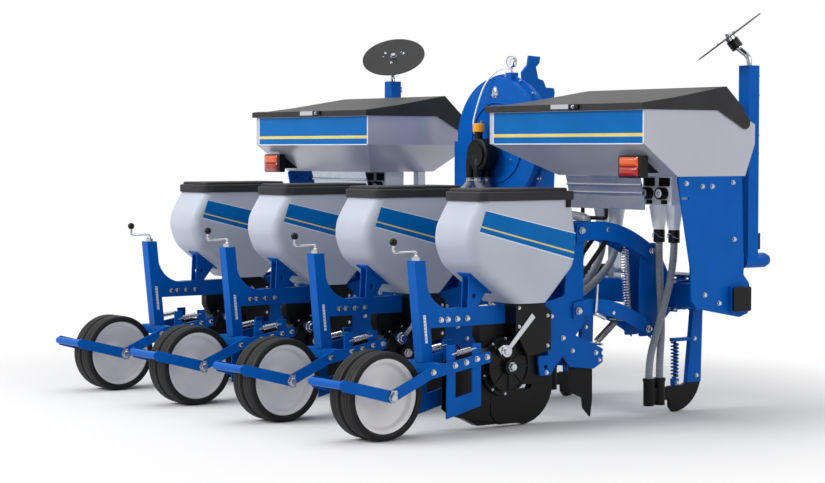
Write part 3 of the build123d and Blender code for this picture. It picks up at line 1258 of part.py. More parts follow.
def marker_arm(side):
    """Upright tube with its pivot sleeve and the bent shank and spindle for the disc."""
    half = MARKER_SIDE / 2
    sleeve_low, sleeve_high = MARKER_Y - half - 6, MARKER_PIN_FRONT - 20
    x = MARKER_X
    post = block((x - half, x + half), (MARKER_Y - half, MARKER_Y + half), (MARKER_PIVOT_Z, MARKER_TOP))
    bore = half - TUBE_WALL
    post -= block((x - bore, x + bore), (MARKER_Y - bore, MARKER_Y + bore), (MARKER_PIVOT_Z - 1, MARKER_TOP - 12))
    post += rod_y(MARKER_SLEEVE_RADIUS, sleeve_low, sleeve_high, x, MARKER_PIVOT_Z)
    post -= rod_y(MARKER_PIN_RADIUS + RUN_CLEARANCE, sleeve_low - 1, sleeve_high + 1, x, MARKER_PIVOT_Z)
    post -= rod_y(6, MARKER_Y, MARKER_Y + half + 1, x, MARKER_PIVOT_Z + 60)
    normal = Vector(*DISC_NORMAL).normalized()
    centre = Vector(x - DISC_INWARD, DISC_Y, DISC_Z)
    hub_foot = centre - normal * 70
    shank = hose(SHANK_RADIUS, [(x, MARKER_Y, MARKER_TOP - SHANK_RADIUS), (x, MARKER_Y, MARKER_TOP + 40), tuple(hub_foot)])
    for low, high, lug, depth in MARKER_LUGS:
        post += block((x - lug, x + lug), (MARKER_Y + half - 1, MARKER_Y + half + depth), (low, high))
    hub = rod_between(26, hub_foot, centre - normal * (DISC_THICKNESS + SEAT_GAP))
    spindle = rod_between(SPINDLE_RADIUS, hub_foot, centre)
    arm = one(post + shank + hub + spindle)
    return arm if side > 0 else mirror_x(arm)


def marker_disc(side):
    """Flat marker disc with the bore for its spindle and three bolt holes."""
    normal = Vector(*DISC_NORMAL).normalized()
    centre = Vector(MARKER_X - DISC_INWARD, DISC_Y, DISC_Z)
    plane = Plane(origin=centre - normal * DISC_THICKNESS, z_dir=normal)
    outline = Circle(DISC_RADIUS) - Circle(SPINDLE_RADIUS + RUN_CLEARANCE)
    outline -= PolarLocations(60, 3) * Circle(6)
    disc = one(extrude(plane * outline, DISC_THICKNESS))
    return disc if side > 0 else mirror_x(disc)


keep("marker_brackets", *[marker_bracket(side) for side in (-1, 1)])
for name, sign in SIDES.items():
    keep(f"marker_arm_{name}", marker_arm(sign))
    keep(f"marker_disc_{name}", marker_disc(sign))


os.makedirs("parts", exist_ok=True)
for node, shape in PARTS.items():
    export_step(shape, f"parts/{node}.step")
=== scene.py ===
"""Looks of a mounted four-row precision seeder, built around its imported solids.

Places are given in millimetres on the machine's own layout, where Y runs along the travel and the press
wheels' axes lie at WHEEL_LINE_MM, and mm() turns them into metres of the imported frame.
"""

import json
import logging
import math
from collections.abc import Callable, Iterable, Iterator
from contextlib import contextmanager
from dataclasses import dataclass, field
from enum import Enum

import bmesh
import bpy
import numpy as np
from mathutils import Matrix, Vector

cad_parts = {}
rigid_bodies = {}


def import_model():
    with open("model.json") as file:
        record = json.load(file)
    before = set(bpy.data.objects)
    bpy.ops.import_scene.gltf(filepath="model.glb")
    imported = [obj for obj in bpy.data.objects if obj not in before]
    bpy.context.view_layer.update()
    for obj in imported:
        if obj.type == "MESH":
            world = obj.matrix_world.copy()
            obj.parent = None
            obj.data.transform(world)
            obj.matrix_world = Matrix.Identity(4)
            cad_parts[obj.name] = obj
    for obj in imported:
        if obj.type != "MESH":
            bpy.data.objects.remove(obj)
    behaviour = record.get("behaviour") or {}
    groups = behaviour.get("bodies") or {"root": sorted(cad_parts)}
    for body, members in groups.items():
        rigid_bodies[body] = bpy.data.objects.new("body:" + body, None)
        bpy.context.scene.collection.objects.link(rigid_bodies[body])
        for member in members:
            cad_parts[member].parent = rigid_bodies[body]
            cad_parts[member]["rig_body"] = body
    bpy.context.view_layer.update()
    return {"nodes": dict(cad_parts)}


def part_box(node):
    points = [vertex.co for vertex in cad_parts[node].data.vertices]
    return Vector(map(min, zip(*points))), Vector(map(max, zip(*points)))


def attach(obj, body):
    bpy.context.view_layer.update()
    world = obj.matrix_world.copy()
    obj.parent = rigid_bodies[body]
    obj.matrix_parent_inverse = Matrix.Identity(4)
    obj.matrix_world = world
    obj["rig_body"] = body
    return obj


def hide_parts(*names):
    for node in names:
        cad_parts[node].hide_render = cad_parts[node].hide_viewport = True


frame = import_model()

LOG = logging.getLogger("seeder")
WHEEL_LINE_MM = -1005.0
LINE_SHIFT = sum(corner.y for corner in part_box("tyre_1")) / 2 - WHEEL_LINE_MM / 1000
ROW_COUNT = 4
# Edges over this angle stay crisp, and the copies of solids are eased there
SHARP_DEG = 34.0
# Distances in metres for merging seams of new surfaces, dropping slivers and merging the facets of solids
SEAM_M, SLIVER_M, FACET_M = 1e-6, 1e-7, 1e-5
# Facets within this angle are one flat face
FLAT_DEG = 0.4
# Shares of the slow noise where a finish begins and ends its drift, and the smoothest that it gets
DRIFT_SPAN = (0.3, 0.7)
LEAST_ROUGHNESS = 0.02
COAT_ROUGHNESS = 0.08
# Stand-off of vinyl films from their plates, and how far the end turns of a coil open, in turns
FILM_MM = 0.4
END_OPENING = 0.35


class Side(Enum):
    """Sides of the machine, with the sign of X."""

    LEFT = -1
    RIGHT = 1

    @property
    def word(self) -> str:
        """Name used in the nodes."""
        return self.name.lower()


class Head(Enum):
    """Kinds of fastener heads, with the points round each."""

    HEX = 6
    DOME = 16


def mm(points: object) -> np.ndarray:
    """Millimetres on the machine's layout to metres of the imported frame.

    Args:
        points: One point or an array of points, last axis X, Y, Z.

    Returns:
        Array of the same form in metres.
    """
    return np.asarray(points, float) / 1000 + np.array([0.0, LINE_SHIFT, 0.0])


def row_places() -> list[float]:
    """Millimetre places of the rows across the machine, read from the tyres."""
    boxes = [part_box(f"tyre_{number}") for number in range(1, ROW_COUNT + 1)]
    return [(low.x + high.x) * 500 for low, high in boxes]


def linear(colour: str) -> tuple[float, float, float, float]:
    """sRGB hex to linear RGBA: c/12.92 for dark values, else ((c + 0.055)/1.055) to the power 2.4."""
    share = np.array([int(colour[index:index + 2], 16) for index in (1, 3, 5)]) / 255
    curve = np.where(share <= 0.04045, share / 12.92, ((share + 0.055) / 1.055) ** 2.4)
    return (*curve.tolist(), 1.0)


def add_node(tree: bpy.types.NodeTree, kind: str, sources: dict | None = None, values: dict | None = None,
             **settings: object) -> bpy.types.ShaderNode:
    """Adds one shader node with its settings and links.

    Args:
        tree: Node tree that gets the node.
        kind: Node type after the word ShaderNode.
        sources: Input name to the output socket that feeds it.
        values: Input name to a constant.
        settings: Attributes of the node.

    Returns:
        The new node.
    """
    node = tree.nodes.new("ShaderNode" + kind)
    for name, value in settings.items():
        setattr(node, name, value)
    for name, value in (values or {}).items():
        node.inputs[name].default_value = value
    for name, socket in (sources or {}).items():
        tree.links.new(socket, node.inputs[name])
    return node


@dataclass(frozen=True)
class Finish:
    """One real surface: its colour drifts slowly between two hex values and a fine grain lifts it."""

    name: str
    colour: str
    drift: str
    roughness: float
    slot: str
    metallic: float = 0.0
    ior: float = 1.5
    coat: float = 0.0
    drift_mm: float = 140.0
    grain_mm: float = 3.0
    depth_mm: float = 0.02
    spread: float = 0.06
    specular: float = 0.5

    def material(self) -> bpy.types.Material:
        """Node material: noise drives colour and roughness, and a finer noise the bump."""
        found = bpy.data.materials.get(self.name)
        if found:
            return found
        material = bpy.data.materials.new(self.name)
        material.use_nodes = True
        tree = material.node_tree
        tree.nodes.clear()
        place = add_node(tree, "TexCoord").outputs["Object"]
        slow = add_node(tree, "TexNoise", {"Vector": place}, {"Scale": 1000 / self.drift_mm, "Detail": 4.0})
        fine = add_node(tree, "TexNoise", {"Vector": place}, {"Scale": 1000 / self.grain_mm, "Detail": 2.0})
        ramp = add_node(tree, "ValToRGB", {"Fac": slow.outputs[0]})
        for stop, share, colour in zip(ramp.color_ramp.elements, DRIFT_SPAN, (self.drift, self.colour)):
            stop.position, stop.color = share, linear(colour)
        rough = add_node(tree, "MapRange", {"Value": fine.outputs[0]}, {
            "To Min": max(self.roughness - self.spread, LEAST_ROUGHNESS),
            "To Max": self.roughness + self.spread})
        bump = add_node(tree, "Bump", {"Height": fine.outputs[0]}, {"Distance": self.depth_mm / 1000})
        shader = add_node(
            tree, "BsdfPrincipled",
            {"Base Color": ramp.outputs[0], "Roughness": rough.outputs[0], "Normal": bump.outputs[0]},
            {"Metallic": self.metallic, "IOR": self.ior, "Coat Weight": self.coat,
             "Coat Roughness": COAT_ROUGHNESS, "Specular IOR Level": self.specular})
        add_node(tree, "OutputMaterial", {"Surface": shader.outputs[0]})
        return material


# Gloss powder coat on steel: an even colour with faint orange peel
BLUE_PAINT = Finish("powder_coated_steel_blue", "#0056AC", "#0050A2", 0.32, "blue_paint", ior=1.38,
                    grain_mm=5.0, depth_mm=0.02, specular=0.13)
# Baked black paint on wear plates: dull, slightly uneven
BLACK_PAINT = Finish("baked_black_paint", "#121214", "#0D0D0F", 0.40, "black_paint", ior=1.4, grain_mm=2.5,
                     specular=0.25)
# Rotation-moulded polyethylene: soft sheen with a fine matt skin
HOPPER_PLASTIC = Finish("rotomoulded_polyethylene_grey", "#AEB4C0", "#A7ADBA", 0.42, "hopper_grey", ior=1.4,
                        grain_mm=4.0, depth_mm=0.02, drift_mm=260.0)
# Silver stove enamel on sheet steel: an even skin that mirrors softly what stands near
SILVER_SHEET = Finish("silver_enamelled_sheet", "#B3B4C0", "#ACADBA", 0.24, "hopper_grey", metallic=0.25,
                      grain_mm=40.0, depth_mm=0.02, drift_mm=420.0, spread=0.03)
# Moulded black polyethylene: matt grain that greys towards the light
LID_PLASTIC = Finish("grained_polyethylene_black", "#232326", "#1A1A1D", 0.50, "lid_black", ior=1.42,
                     grain_mm=1.6, depth_mm=0.05, specular=0.4)
# Glass-filled nylon housings: darker and smoother
BLACK_PLASTIC = Finish("moulded_nylon_black", "#101012", "#0B0B0D", 0.34, "black_plastic", ior=1.42,
                       grain_mm=2.2, depth_mm=0.03, specular=0.28)
# Vulcanised rubber: dull with dusty patches
RUBBER = Finish("vulcanised_rubber", "#161618", "#101012", 0.55, "tyre_rubber", ior=1.42, grain_mm=1.8,
                depth_mm=0.06, spread=0.1, specular=0.35)
# Pale stove enamel on pressed rims
RIM_PAINT = Finish("stove_enamel_pale_grey", "#DAD8D9", "#D0CED0", 0.30, "rim_grey", coat=0.15, grain_mm=5.0)
# Bright zinc plate on fasteners and rods
ZINC = Finish("bright_zinc_plate", "#D6D8DC", "#BFC3C9", 0.24, "steel", metallic=1.0, grain_mm=1.5)
# Hard chrome on cranks and tubes
CHROME = Finish("hard_chrome", "#C9CBD0", "#BCBEC4", 0.08, "steel", metallic=1.0, grain_mm=8.0,
                depth_mm=0.004, spread=0.03)
# Hot-dip galvanised sheet: pale spangles under a bright skin
GALVANISED = Finish("hot_dip_galvanised_sheet", "#B9C0CC", "#AEB6C3", 0.22, "steel", metallic=0.8,
                    drift_mm=22.0, grain_mm=30.0, depth_mm=0.008, spread=0.04)
# Oiled spring wire: dark grey with narrow lights
SPRING_STEEL = Finish("oiled_spring_wire", "#6E7177", "#5D6066", 0.28, "steel", metallic=0.9, grain_mm=2.0)
# Black paint on disc steel: dark with a low sheen
DISC_STEEL = Finish("black_painted_disc_steel", "#1E1E20", "#161618", 0.38, "disc_black",
                    grain_mm=2.0, specular=0.3)
# Plasticised PVC with a hard spiral: grey and slightly glossy
HOSE_PVC = Finish("spiral_pvc_hose_grey", "#8C9099", "#7F838C", 0.30, "hose_grey", ior=1.42, grain_mm=2.0)
# Natural polypropylene: white with a waxy look
FUNNEL_PLASTIC = Finish("natural_polypropylene_white", "#ECEFF3", "#E0E5EB", 0.36, "funnel_white")
# Dyed polyamide cap
CAP_PLASTIC = Finish("dyed_polyamide_yellow", "#F2A51E", "#E69A18", 0.35, "cap_yellow", grain_mm=2.0)
# Moulded acrylic lenses, red and amber
LENS_RED = Finish("moulded_acrylic_red", "#A81510", "#8F0F0B", 0.12, "lamp_red", coat=0.5, grain_mm=2.5,
                  depth_mm=0.12)
LENS_AMBER = Finish("moulded_acrylic_amber", "#E05A1C", "#CC4C14", 0.12, "lamp_red", coat=0.5, grain_mm=2.5,
                    depth_mm=0.12)
# Cast vinyl films for the stripes
VINYL_BLUE = Finish("cast_vinyl_blue", "#0064AC", "#005EA4", 0.24, "blue_paint", ior=1.38, grain_mm=9.0,
                    depth_mm=0.006, specular=0.15)
VINYL_YELLOW = Finish("cast_vinyl_yellow", "#DCC66A", "#D2BB5C", 0.26, "cap_yellow", grain_mm=9.0,
                      depth_mm=0.006)
VINYL_WHITE = Finish("cast_vinyl_white", "#D3DAE4", "#CAD2DD", 0.26, "funnel_white", grain_mm=9.0,
                     depth_mm=0.006)
VINYL_BLACK = Finish("cast_vinyl_black", "#202024", "#19191C", 0.30, "black_plastic", grain_mm=9.0,
                     depth_mm=0.006)


@dataclass
class Patch:
    """Points and quads of a surface, in metres, with the finish that it wears."""

    points: np.ndarray
    quads: np.ndarray
    finish: Finish


def grid(points: np.ndarray, finish: Finish, wrap_u: bool = False, wrap_v: bool = False) -> Patch:
    """Quads between the neighbours of a grid of points.

    Args:
        points: Array (u, v, 3) of the surface at its two parameters.
        finish: What the surface wears.
        wrap_u: Joins the last row to the first.
        wrap_v: Joins the last column to the first.

    Returns:
        The surface.
    """
    rows, columns = points.shape[:2]
    u = np.arange(rows if wrap_u else rows - 1)[:, None]
    v = np.arange(columns if wrap_v else columns - 1)[None, :]
    u_next, v_next = (u + 1) % rows, (v + 1) % columns
    corners = [u * columns + v, u_next * columns + v, u_next * columns + v_next, u * columns + v_next]
    return Patch(points.reshape(-1, 3), np.stack(corners, -1).reshape(-1, 4), finish)


def frames(path: np.ndarray) -> tuple[np.ndarray, np.ndarray]:
    """Two unit vectors across a path at each point, turned from the axis that it follows least.

    Args:
        path: Array (n, 3) of points.

    Returns:
        Arrays of the first and second vector.
    """
    along = np.gradient(path, axis=0)
    along /= np.linalg.norm(along, axis=1, keepdims=True)
    choices = np.array([[1, 0, 0], [0, 1, 0], [0, 0, 1], [0.6, 0.5, 0.62], [-0.6, 0.5, 0.62],
                        [0.5, 0.8, -0.3]], float)
    crossing = np.linalg.norm(np.cross(along[:, None, :], choices[None]), axis=2).min(0)
    first = np.cross(along, choices[int(crossing.argmax())])
    first /= np.linalg.norm(first, axis=1, keepdims=True)
    return first, np.cross(along, first)


def tube(path: np.ndarray, radii: object, finish: Finish, sides: int = 12, closed_ends: bool = True) -> Patch:
    """Circle carried along a path: point + radius(u) (cos v first + sin v second).

    Args:
        path: Array (n, 3) of points in metres.
        radii: One radius or an array of n.
        finish: What the tube wears.
        sides: Points round the circle.
        closed_ends: Draws each end in to its centre.

    Returns:
        The surface.
    """
    radius = np.broadcast_to(np.asarray(radii, float), (len(path),)).copy()
    first, second = frames(path)
    if closed_ends:
        path = np.concatenate([path[:1], path, path[-1:]])
        first = np.concatenate([first[:1], first, first[-1:]])
        second = np.concatenate([second[:1], second, second[-1:]])
        radius = np.concatenate([[0.0], radius, [0.0]])
    turn = np.linspace(0, 2 * np.pi, sides, endpoint=False)
    ring = np.cos(turn)[None, :, None] * first[:, None] + np.sin(turn)[None, :, None] * second[:, None]
    return grid(path[:, None] + radius[:, None, None] * ring, finish, wrap_v=True)


def lathe(profile: object, finish: Finish, sides: int = 48, wrap: bool = False) -> Patch:
    """Profile of (radius, height) millimetres turned about Z: (r cos v, r sin v, h).

    Args:
        profile: Rows of radius and height.
        finish: What the surface wears.
        sides: Points round the turn.
        wrap: Joins the profile's end to its start.

    Returns:
        The surface about the origin, in metres.
    """
    rows = np.asarray(profile, float) / 1000
    turn = np.linspace(0, 2 * np.pi, sides, endpoint=False)
    ring = np.stack([np.cos(turn), np.sin(turn), np.zeros(sides)], -1)
    points = rows[:, :1, None] * ring[None] + rows[:, 1:, None] * np.array([0.0, 0.0, 1.0])
    return grid(points, finish, wrap_u=wrap, wrap_v=True)


def rounded(corners: object, radius: float, steps: int = 4) -> np.ndarray:
    """Open outline with each inner corner drawn as a quadratic curve between points at the radius from it.

    Args:
        corners: Rows of two or three coordinates.
        radius: Distance of the curve's ends from the corner, cut to 0.45 of the shorter side.
        steps: Spans of each curve.

    Returns:
        Points of the outline.
    """
    rows = np.asarray(corners, float)
    before, corner, after = rows[:-2], rows[1:-1], rows[2:]
    reach = np.minimum(radius, 0.45 * np.minimum(np.linalg.norm(corner - before, axis=1),
                                                 np.linalg.norm(after - corner, axis=1)))[:, None]
    start = corner + (before - corner) / np.linalg.norm(before - corner, axis=1, keepdims=True) * reach
    end = corner + (after - corner) / np.linalg.norm(after - corner, axis=1, keepdims=True) * reach
    t = np.linspace(0, 1, steps + 1)[None, :, None]
    curve = (1 - t) ** 2 * start[:, None] + 2 * t * (1 - t) * corner[:, None] + t ** 2 * end[:, None]
    return np.concatenate([rows[:1], curve.reshape(-1, rows.shape[1]), rows[-1:]])


def toward(normal: object) -> np.ndarray:
    """Rotation that takes +Z to a direction, as rows of the new axes."""
    z_axis = np.asarray(normal, float) / np.linalg.norm(normal)
    helper = np.array([0.0, 0.0, 1.0]) if abs(z_axis[2]) < 0.9 else np.array([1.0, 0.0, 0.0])
    x_axis = np.cross(helper, z_axis)
    x_axis /= np.linalg.norm(x_axis)
    return np.stack([x_axis, np.cross(z_axis, x_axis), z_axis])


def turned(patch: Patch, normal: object, origin: object) -> Patch:
    """Surface about Z laid along a direction from an origin in metres."""
    return Patch(patch.points @ toward(normal) + np.asarray(origin, float), patch.quads, patch.finish)


def repeated(patch: Patch, places: np.ndarray, normal: object) -> Patch:
    """Copies of a surface about Z at many places with one direction, as one array."""
    base = patch.points @ toward(normal)
    count, size = len(places), len(base)
    points = (np.asarray(places, float)[:, None] + base[None]).reshape(-1, 3)
    quads = (patch.quads[None] + (np.arange(count) * size)[:, None, None]).reshape(-1, 4)
    return Patch(points, quads, patch.finish)


def even_ring(count: int, radius: float, start: float) -> np.ndarray:
    """Even points on a circle from a start angle: radius (cos v, sin v)."""
    turn = np.arange(count) * math.tau / count + start
    return radius * np.column_stack([np.cos(turn), np.sin(turn)])


def slab_patch(outline: object, low: float, high: float, finish: Finish) -> Patch:
    """Plate of a Y-Z outline (millimetres) between two X planes: a band, its faces drawn in to the middle."""
    rows = np.asarray(outline, float)
    middle = rows.mean(0)
    rings = [np.column_stack([np.full(len(rows), x), rows if near else np.tile(middle, (len(rows), 1))])
             for x, near in ((low, False), (low, True), (high, True), (high, False))]
    return grid(mm(np.stack(rings)), finish, wrap_v=True)


def strip_patch(first: object, second: object, low: float, high: float, finish: Finish) -> Patch:
    """Plate between two Y-Z edge lines (millimetres) and two X planes: a ring at each pair of points.

    Args:
        first: Points of one edge.
        second: Points of the other edge, as many.
        low: Lower X plane.
        high: Upper X plane.
        finish: What it wears.

    Returns:
        The closed plate.
    """
    first, second = np.asarray(first, float), np.asarray(second, float)
    rings = np.stack([np.insert(edge, 0, x, axis=1) for edge, x in
                      ((first, low), (second, low), (second, high), (first, high))], axis=1)
    ends = [np.broadcast_to(ring.mean(0), ring.shape)[None] for ring in (rings[0], rings[-1])]
    return grid(mm(np.concatenate([ends[0], rings, ends[1]])), finish, wrap_v=True)


def box_patch(x_span: tuple, y_span: tuple, z_span: tuple, finish: Finish, ease: float = 2.0) -> Patch:
    """Box of millimetres with eased long edges: an eight-cornered Y-Z outline between two X planes."""
    (y0, y1), (z0, z1) = y_span, z_span
    outline = [(y0 + ease, z0), (y1 - ease, z0), (y1, z0 + ease), (y1, z1 - ease),
               (y1 - ease, z1), (y0 + ease, z1), (y0, z1 - ease), (y0, z0 + ease)]
    return slab_patch(outline, *x_span, finish)


def helix(start: object, end: object, radius: float, turns: float, wire: float, finish: Finish,
          steps: int = 14) -> Patch:
    """Wire on a coil of n turns: start + p (end - start) + radius (cos 2 pi n t, sin 2 pi n t).

    The pitch is a little wider at the ends: p = t + END_OPENING sin(2 pi t) / (2 pi n).

    Args:
        start: Foot of the axis, millimetres.
        end: Head of the axis, millimetres.
        radius: Middle radius of the coil, millimetres.
        turns: Number of turns.
        wire: Wire radius, millimetres.
        finish: What the wire wears.
        steps: Points to a turn.

    Returns:
        The surface.
    """
    t = np.linspace(0, 1, int(turns * steps) + 1)
    axes = toward(np.subtract(end, start))
    pitch = t + END_OPENING / turns * np.sin(2 * np.pi * t) / (2 * np.pi)
    ring = np.cos(2 * np.pi * turns * t)[:, None] * axes[0] + np.sin(2 * np.pi * turns * t)[:, None] * axes[1]
    path = np.asarray(start, float) + pitch[:, None] * np.subtract(end, start) + radius * ring
    return tube(mm(path), wire / 1000, finish, 8)


def bolt(width: float, head: Head, finish: Finish) -> Patch:
    """Fastener head on its washer, turned about Z from the clamped face.

    Args:
        width: Size across the head in millimetres.
        head: Hexagon or dome.
        finish: What it wears.

    Returns:
        The surface about the origin.
    """
    half = width / 2 / (math.cos(math.pi / 6) if head is Head.HEX else 1.0)
    washer = width * 0.72
    profile = [(0, width * 0.66), (half * 0.8, width * 0.66), (half, width * 0.56), (half, width * 0.12),
               (washer, width * 0.12), (washer, -0.4)]
    return lathe(profile, finish, head.value)


def bolts(places: object, normal: object, width: float, head: Head = Head.HEX) -> Patch:
    """Row of zinc fasteners at millimetre places on one plane."""
    return repeated(bolt(width, head, ZINC), mm(places), normal)


def at_each(maker: Callable[[float], list[Patch]], places: Iterable[float]) -> list[Patch]:
    """Surfaces of one maker at every place across the machine."""
    return [patch for x in places for patch in maker(x)]


def publish(name: str, patches: list[Patch], body: str, replaces: tuple = (),
            recalculate: bool = True) -> bpy.types.Object:
    """Makes one object of several surfaces, rides it on a body and hides the CAD nodes that it stands for.

    Args:
        name: Piece name.
        patches: Surfaces, each with its finish.
        body: CAD body that carries the piece.
        replaces: CAD nodes that the piece stands for.
        recalculate: Turns closed shells outwards.

    Returns:
        The object.
    """
    finishes = list(dict.fromkeys(patch.finish for patch in patches))
    starts = np.cumsum([0] + [len(patch.points) for patch in patches])
    points = np.concatenate([patch.points for patch in patches])
    quads = np.concatenate([patch.quads + start for patch, start in zip(patches, starts)])
    index = np.concatenate([np.full(len(patch.quads), finishes.index(patch.finish)) for patch in patches])
    mesh = bpy.data.meshes.new(name)
    mesh.from_pydata(points, [], quads)
    mesh.polygons.foreach_set("material_index", index.astype(np.int32))
    for finish in finishes:
        mesh.materials.append(finish.material())
    weld(mesh, recalculate)
    return settle(bpy.data.objects.new(name, mesh), body, replaces)


@contextmanager
def opened(mesh: bpy.types.Mesh) -> Iterator[bmesh.types.BMesh]:
    """Opens a mesh for editing and writes it back afterwards."""
    work = bmesh.new()
    work.from_mesh(mesh)
    yield work
    work.to_mesh(mesh)
    work.free()


def weld(mesh: bpy.types.Mesh, recalculate: bool) -> None:
    """Merges doubled points of seams and poles, and turns shells outwards if asked."""
    with opened(mesh) as work:
        bmesh.ops.remove_doubles(work, verts=work.verts, dist=SEAM_M)
        bmesh.ops.dissolve_degenerate(work, dist=SLIVER_M, edges=work.edges)
        if recalculate:
            bmesh.ops.recalc_face_normals(work, faces=work.faces)


def settle(piece: bpy.types.Object, body: str, replaces: tuple) -> bpy.types.Object:
    """Links a piece, shades it smooth up to the crisp angle, rides it on its body and reports it."""
    bpy.context.scene.collection.objects.link(piece)
    piece.data.polygons.foreach_set("use_smooth", np.ones(len(piece.data.polygons), bool))
    piece.data.set_sharp_from_angle(angle=math.radians(SHARP_DEG))
    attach(piece, body)
    if replaces:
        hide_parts(*replaces)
    LOG.info("%s on %s: %d faces", piece.name, body, len(piece.data.polygons))
    return piece


def eased_copy(node: str, finish: Finish, ease_mm: float, steps: int = 2) -> bpy.types.Object:
    """Merged copy of a rigid solid whose sharp edges are eased as on the made part.

    Args:
        node: CAD node that the copy stands for.
        finish: What it wears.
        ease_mm: Width of the eased edge.
        steps: Spans of the round.

    Returns:
        The object.
    """
    source = frame["nodes"][node]
    mesh = source.data.copy()
    mesh.name = node + "_dressed"
    with opened(mesh) as work:
        bmesh.ops.remove_doubles(work, verts=work.verts, dist=FACET_M)
        bmesh.ops.dissolve_limit(work, angle_limit=math.radians(FLAT_DEG), verts=work.verts, edges=work.edges)
    mesh.materials.clear()
    mesh.materials.append(finish.material())
    mesh.polygons.foreach_set("material_index", np.zeros(len(mesh.polygons), np.int32))
    piece = bpy.data.objects.new(node + "_dressed", mesh)
    settle(piece, source["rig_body"], (node,))
    ease = piece.modifiers.new("eased_edges", "BEVEL")
    ease.width, ease.segments = ease_mm / 1000, steps
    ease.limit_method, ease.angle_limit = "ANGLE", math.radians(SHARP_DEG)
    ease.harden_normals = True
    return piece


def dress(solids: Iterable[tuple], steps: int = 2) -> None:
    """Makes eased copies of several solids.

    Args:
        solids: Rows of node, finish and width of the eased edge in millimetres.
        steps: Spans of the round.
    """
    for node, finish, ease_mm in solids:
        eased_copy(node, finish, ease_mm, steps)


def paint_where(piece: bpy.types.Object, finish: Finish, low: object, high: object) -> None:
    """Gives the faces whose centres lie in a box of metres another finish.

    Args:
        piece: Dressed piece.
        finish: What the faces wear.
        low: Lowest corner.
        high: Highest corner.
    """
    mesh = piece.data
    mesh.materials.append(finish.material())
    centres = np.empty(len(mesh.polygons) * 3)
    mesh.polygons.foreach_get("center", centres)
    centres = centres.reshape(-1, 3)
    inside = np.all((centres >= np.asarray(low)) & (centres <= np.asarray(high)), axis=1)
    index = np.empty(len(mesh.polygons), np.int32)
    mesh.polygons.foreach_get("material_index", index)
    index[inside] = len(mesh.materials) - 1
    mesh.polygons.foreach_set("material_index", index)


def smooth_route(points_mm: object) -> np.ndarray:
    """Points along the NURBS line of order 3 whose control points are a hose's route.

    Args:
        points_mm: Route points in millimetres.

    Returns:
        Array (n, 3) in metres.
    """
    route = mm(points_mm)
    curve = bpy.data.curves.new("hose_route", "CURVE")
    curve.dimensions = "3D"
    spline = curve.splines.new("NURBS")
    spline.points.add(len(route) - 1)
    spline.points.foreach_set("co", np.column_stack([route, np.ones(len(route))]).astype(np.float32).ravel())
    spline.order_u = 3
    spline.use_endpoint_u = True
    spline.resolution_u = 24
    holder = bpy.data.objects.new("hose_route", curve)
    line = bpy.data.meshes.new_from_object(holder)
    points = np.empty(len(line.vertices) * 3)
    line.vertices.foreach_get("co", points)
    bpy.data.objects.remove(holder)
    bpy.data.curves.remove(curve)
    bpy.data.meshes.remove(line)
    return points.reshape(-1, 3)


def hose_clamp(point_mm: object, direction: object, radius: float) -> list[Patch]:
    """Worm-drive band round a hose with its screw housing.

    Args:
        point_mm: Middle of the band in millimetres.
        direction: Along the hose.
        radius: Hose radius in millimetres.

    Returns:
        Band and housing.
    """
    band = [(radius + 0.3, -6), (radius + 1.6, -6), (radius + 1.6, 6), (radius + 0.3, 6)]
    screw = [(0, 9), (4.5, 9), (4.5, -9), (0, -9)]
    axes = toward(direction)
    place = mm(point_mm)
    return [turned(lathe(band, ZINC, 36, True), direction, place),
            turned(lathe(screw, ZINC, 12), axes[0], place + axes[1] * (radius + 4.5) / 1000)]


def corrugated(path: np.ndarray, radius_mm: float, pitch_mm: float, depth_mm: float, finish: Finish) -> Patch:
    """Hose whose radius waves along its length: R - d (1 - cos(2 pi s / pitch)) / 2.

    Args:
        path: Points in metres.
        radius_mm: Outer radius.
        pitch_mm: Distance between the rings.
        depth_mm: Depth of the grooves.
        finish: What the hose wears.

    Returns:
        The surface.
    """
    length = np.concatenate([[0], np.cumsum(np.linalg.norm(np.diff(path, axis=0), axis=1))])
    count = int(length[-1] / (pitch_mm / 1000) * 6)
    even = np.linspace(0, length[-1], count)
    line = np.column_stack([np.interp(even, length, path[:, axis]) for axis in range(3)])
    wave = (1 - np.cos(2 * np.pi * even / (pitch_mm / 1000))) / 2
    return tube(line, (radius_mm - depth_mm * wave) / 1000, finish, 16)


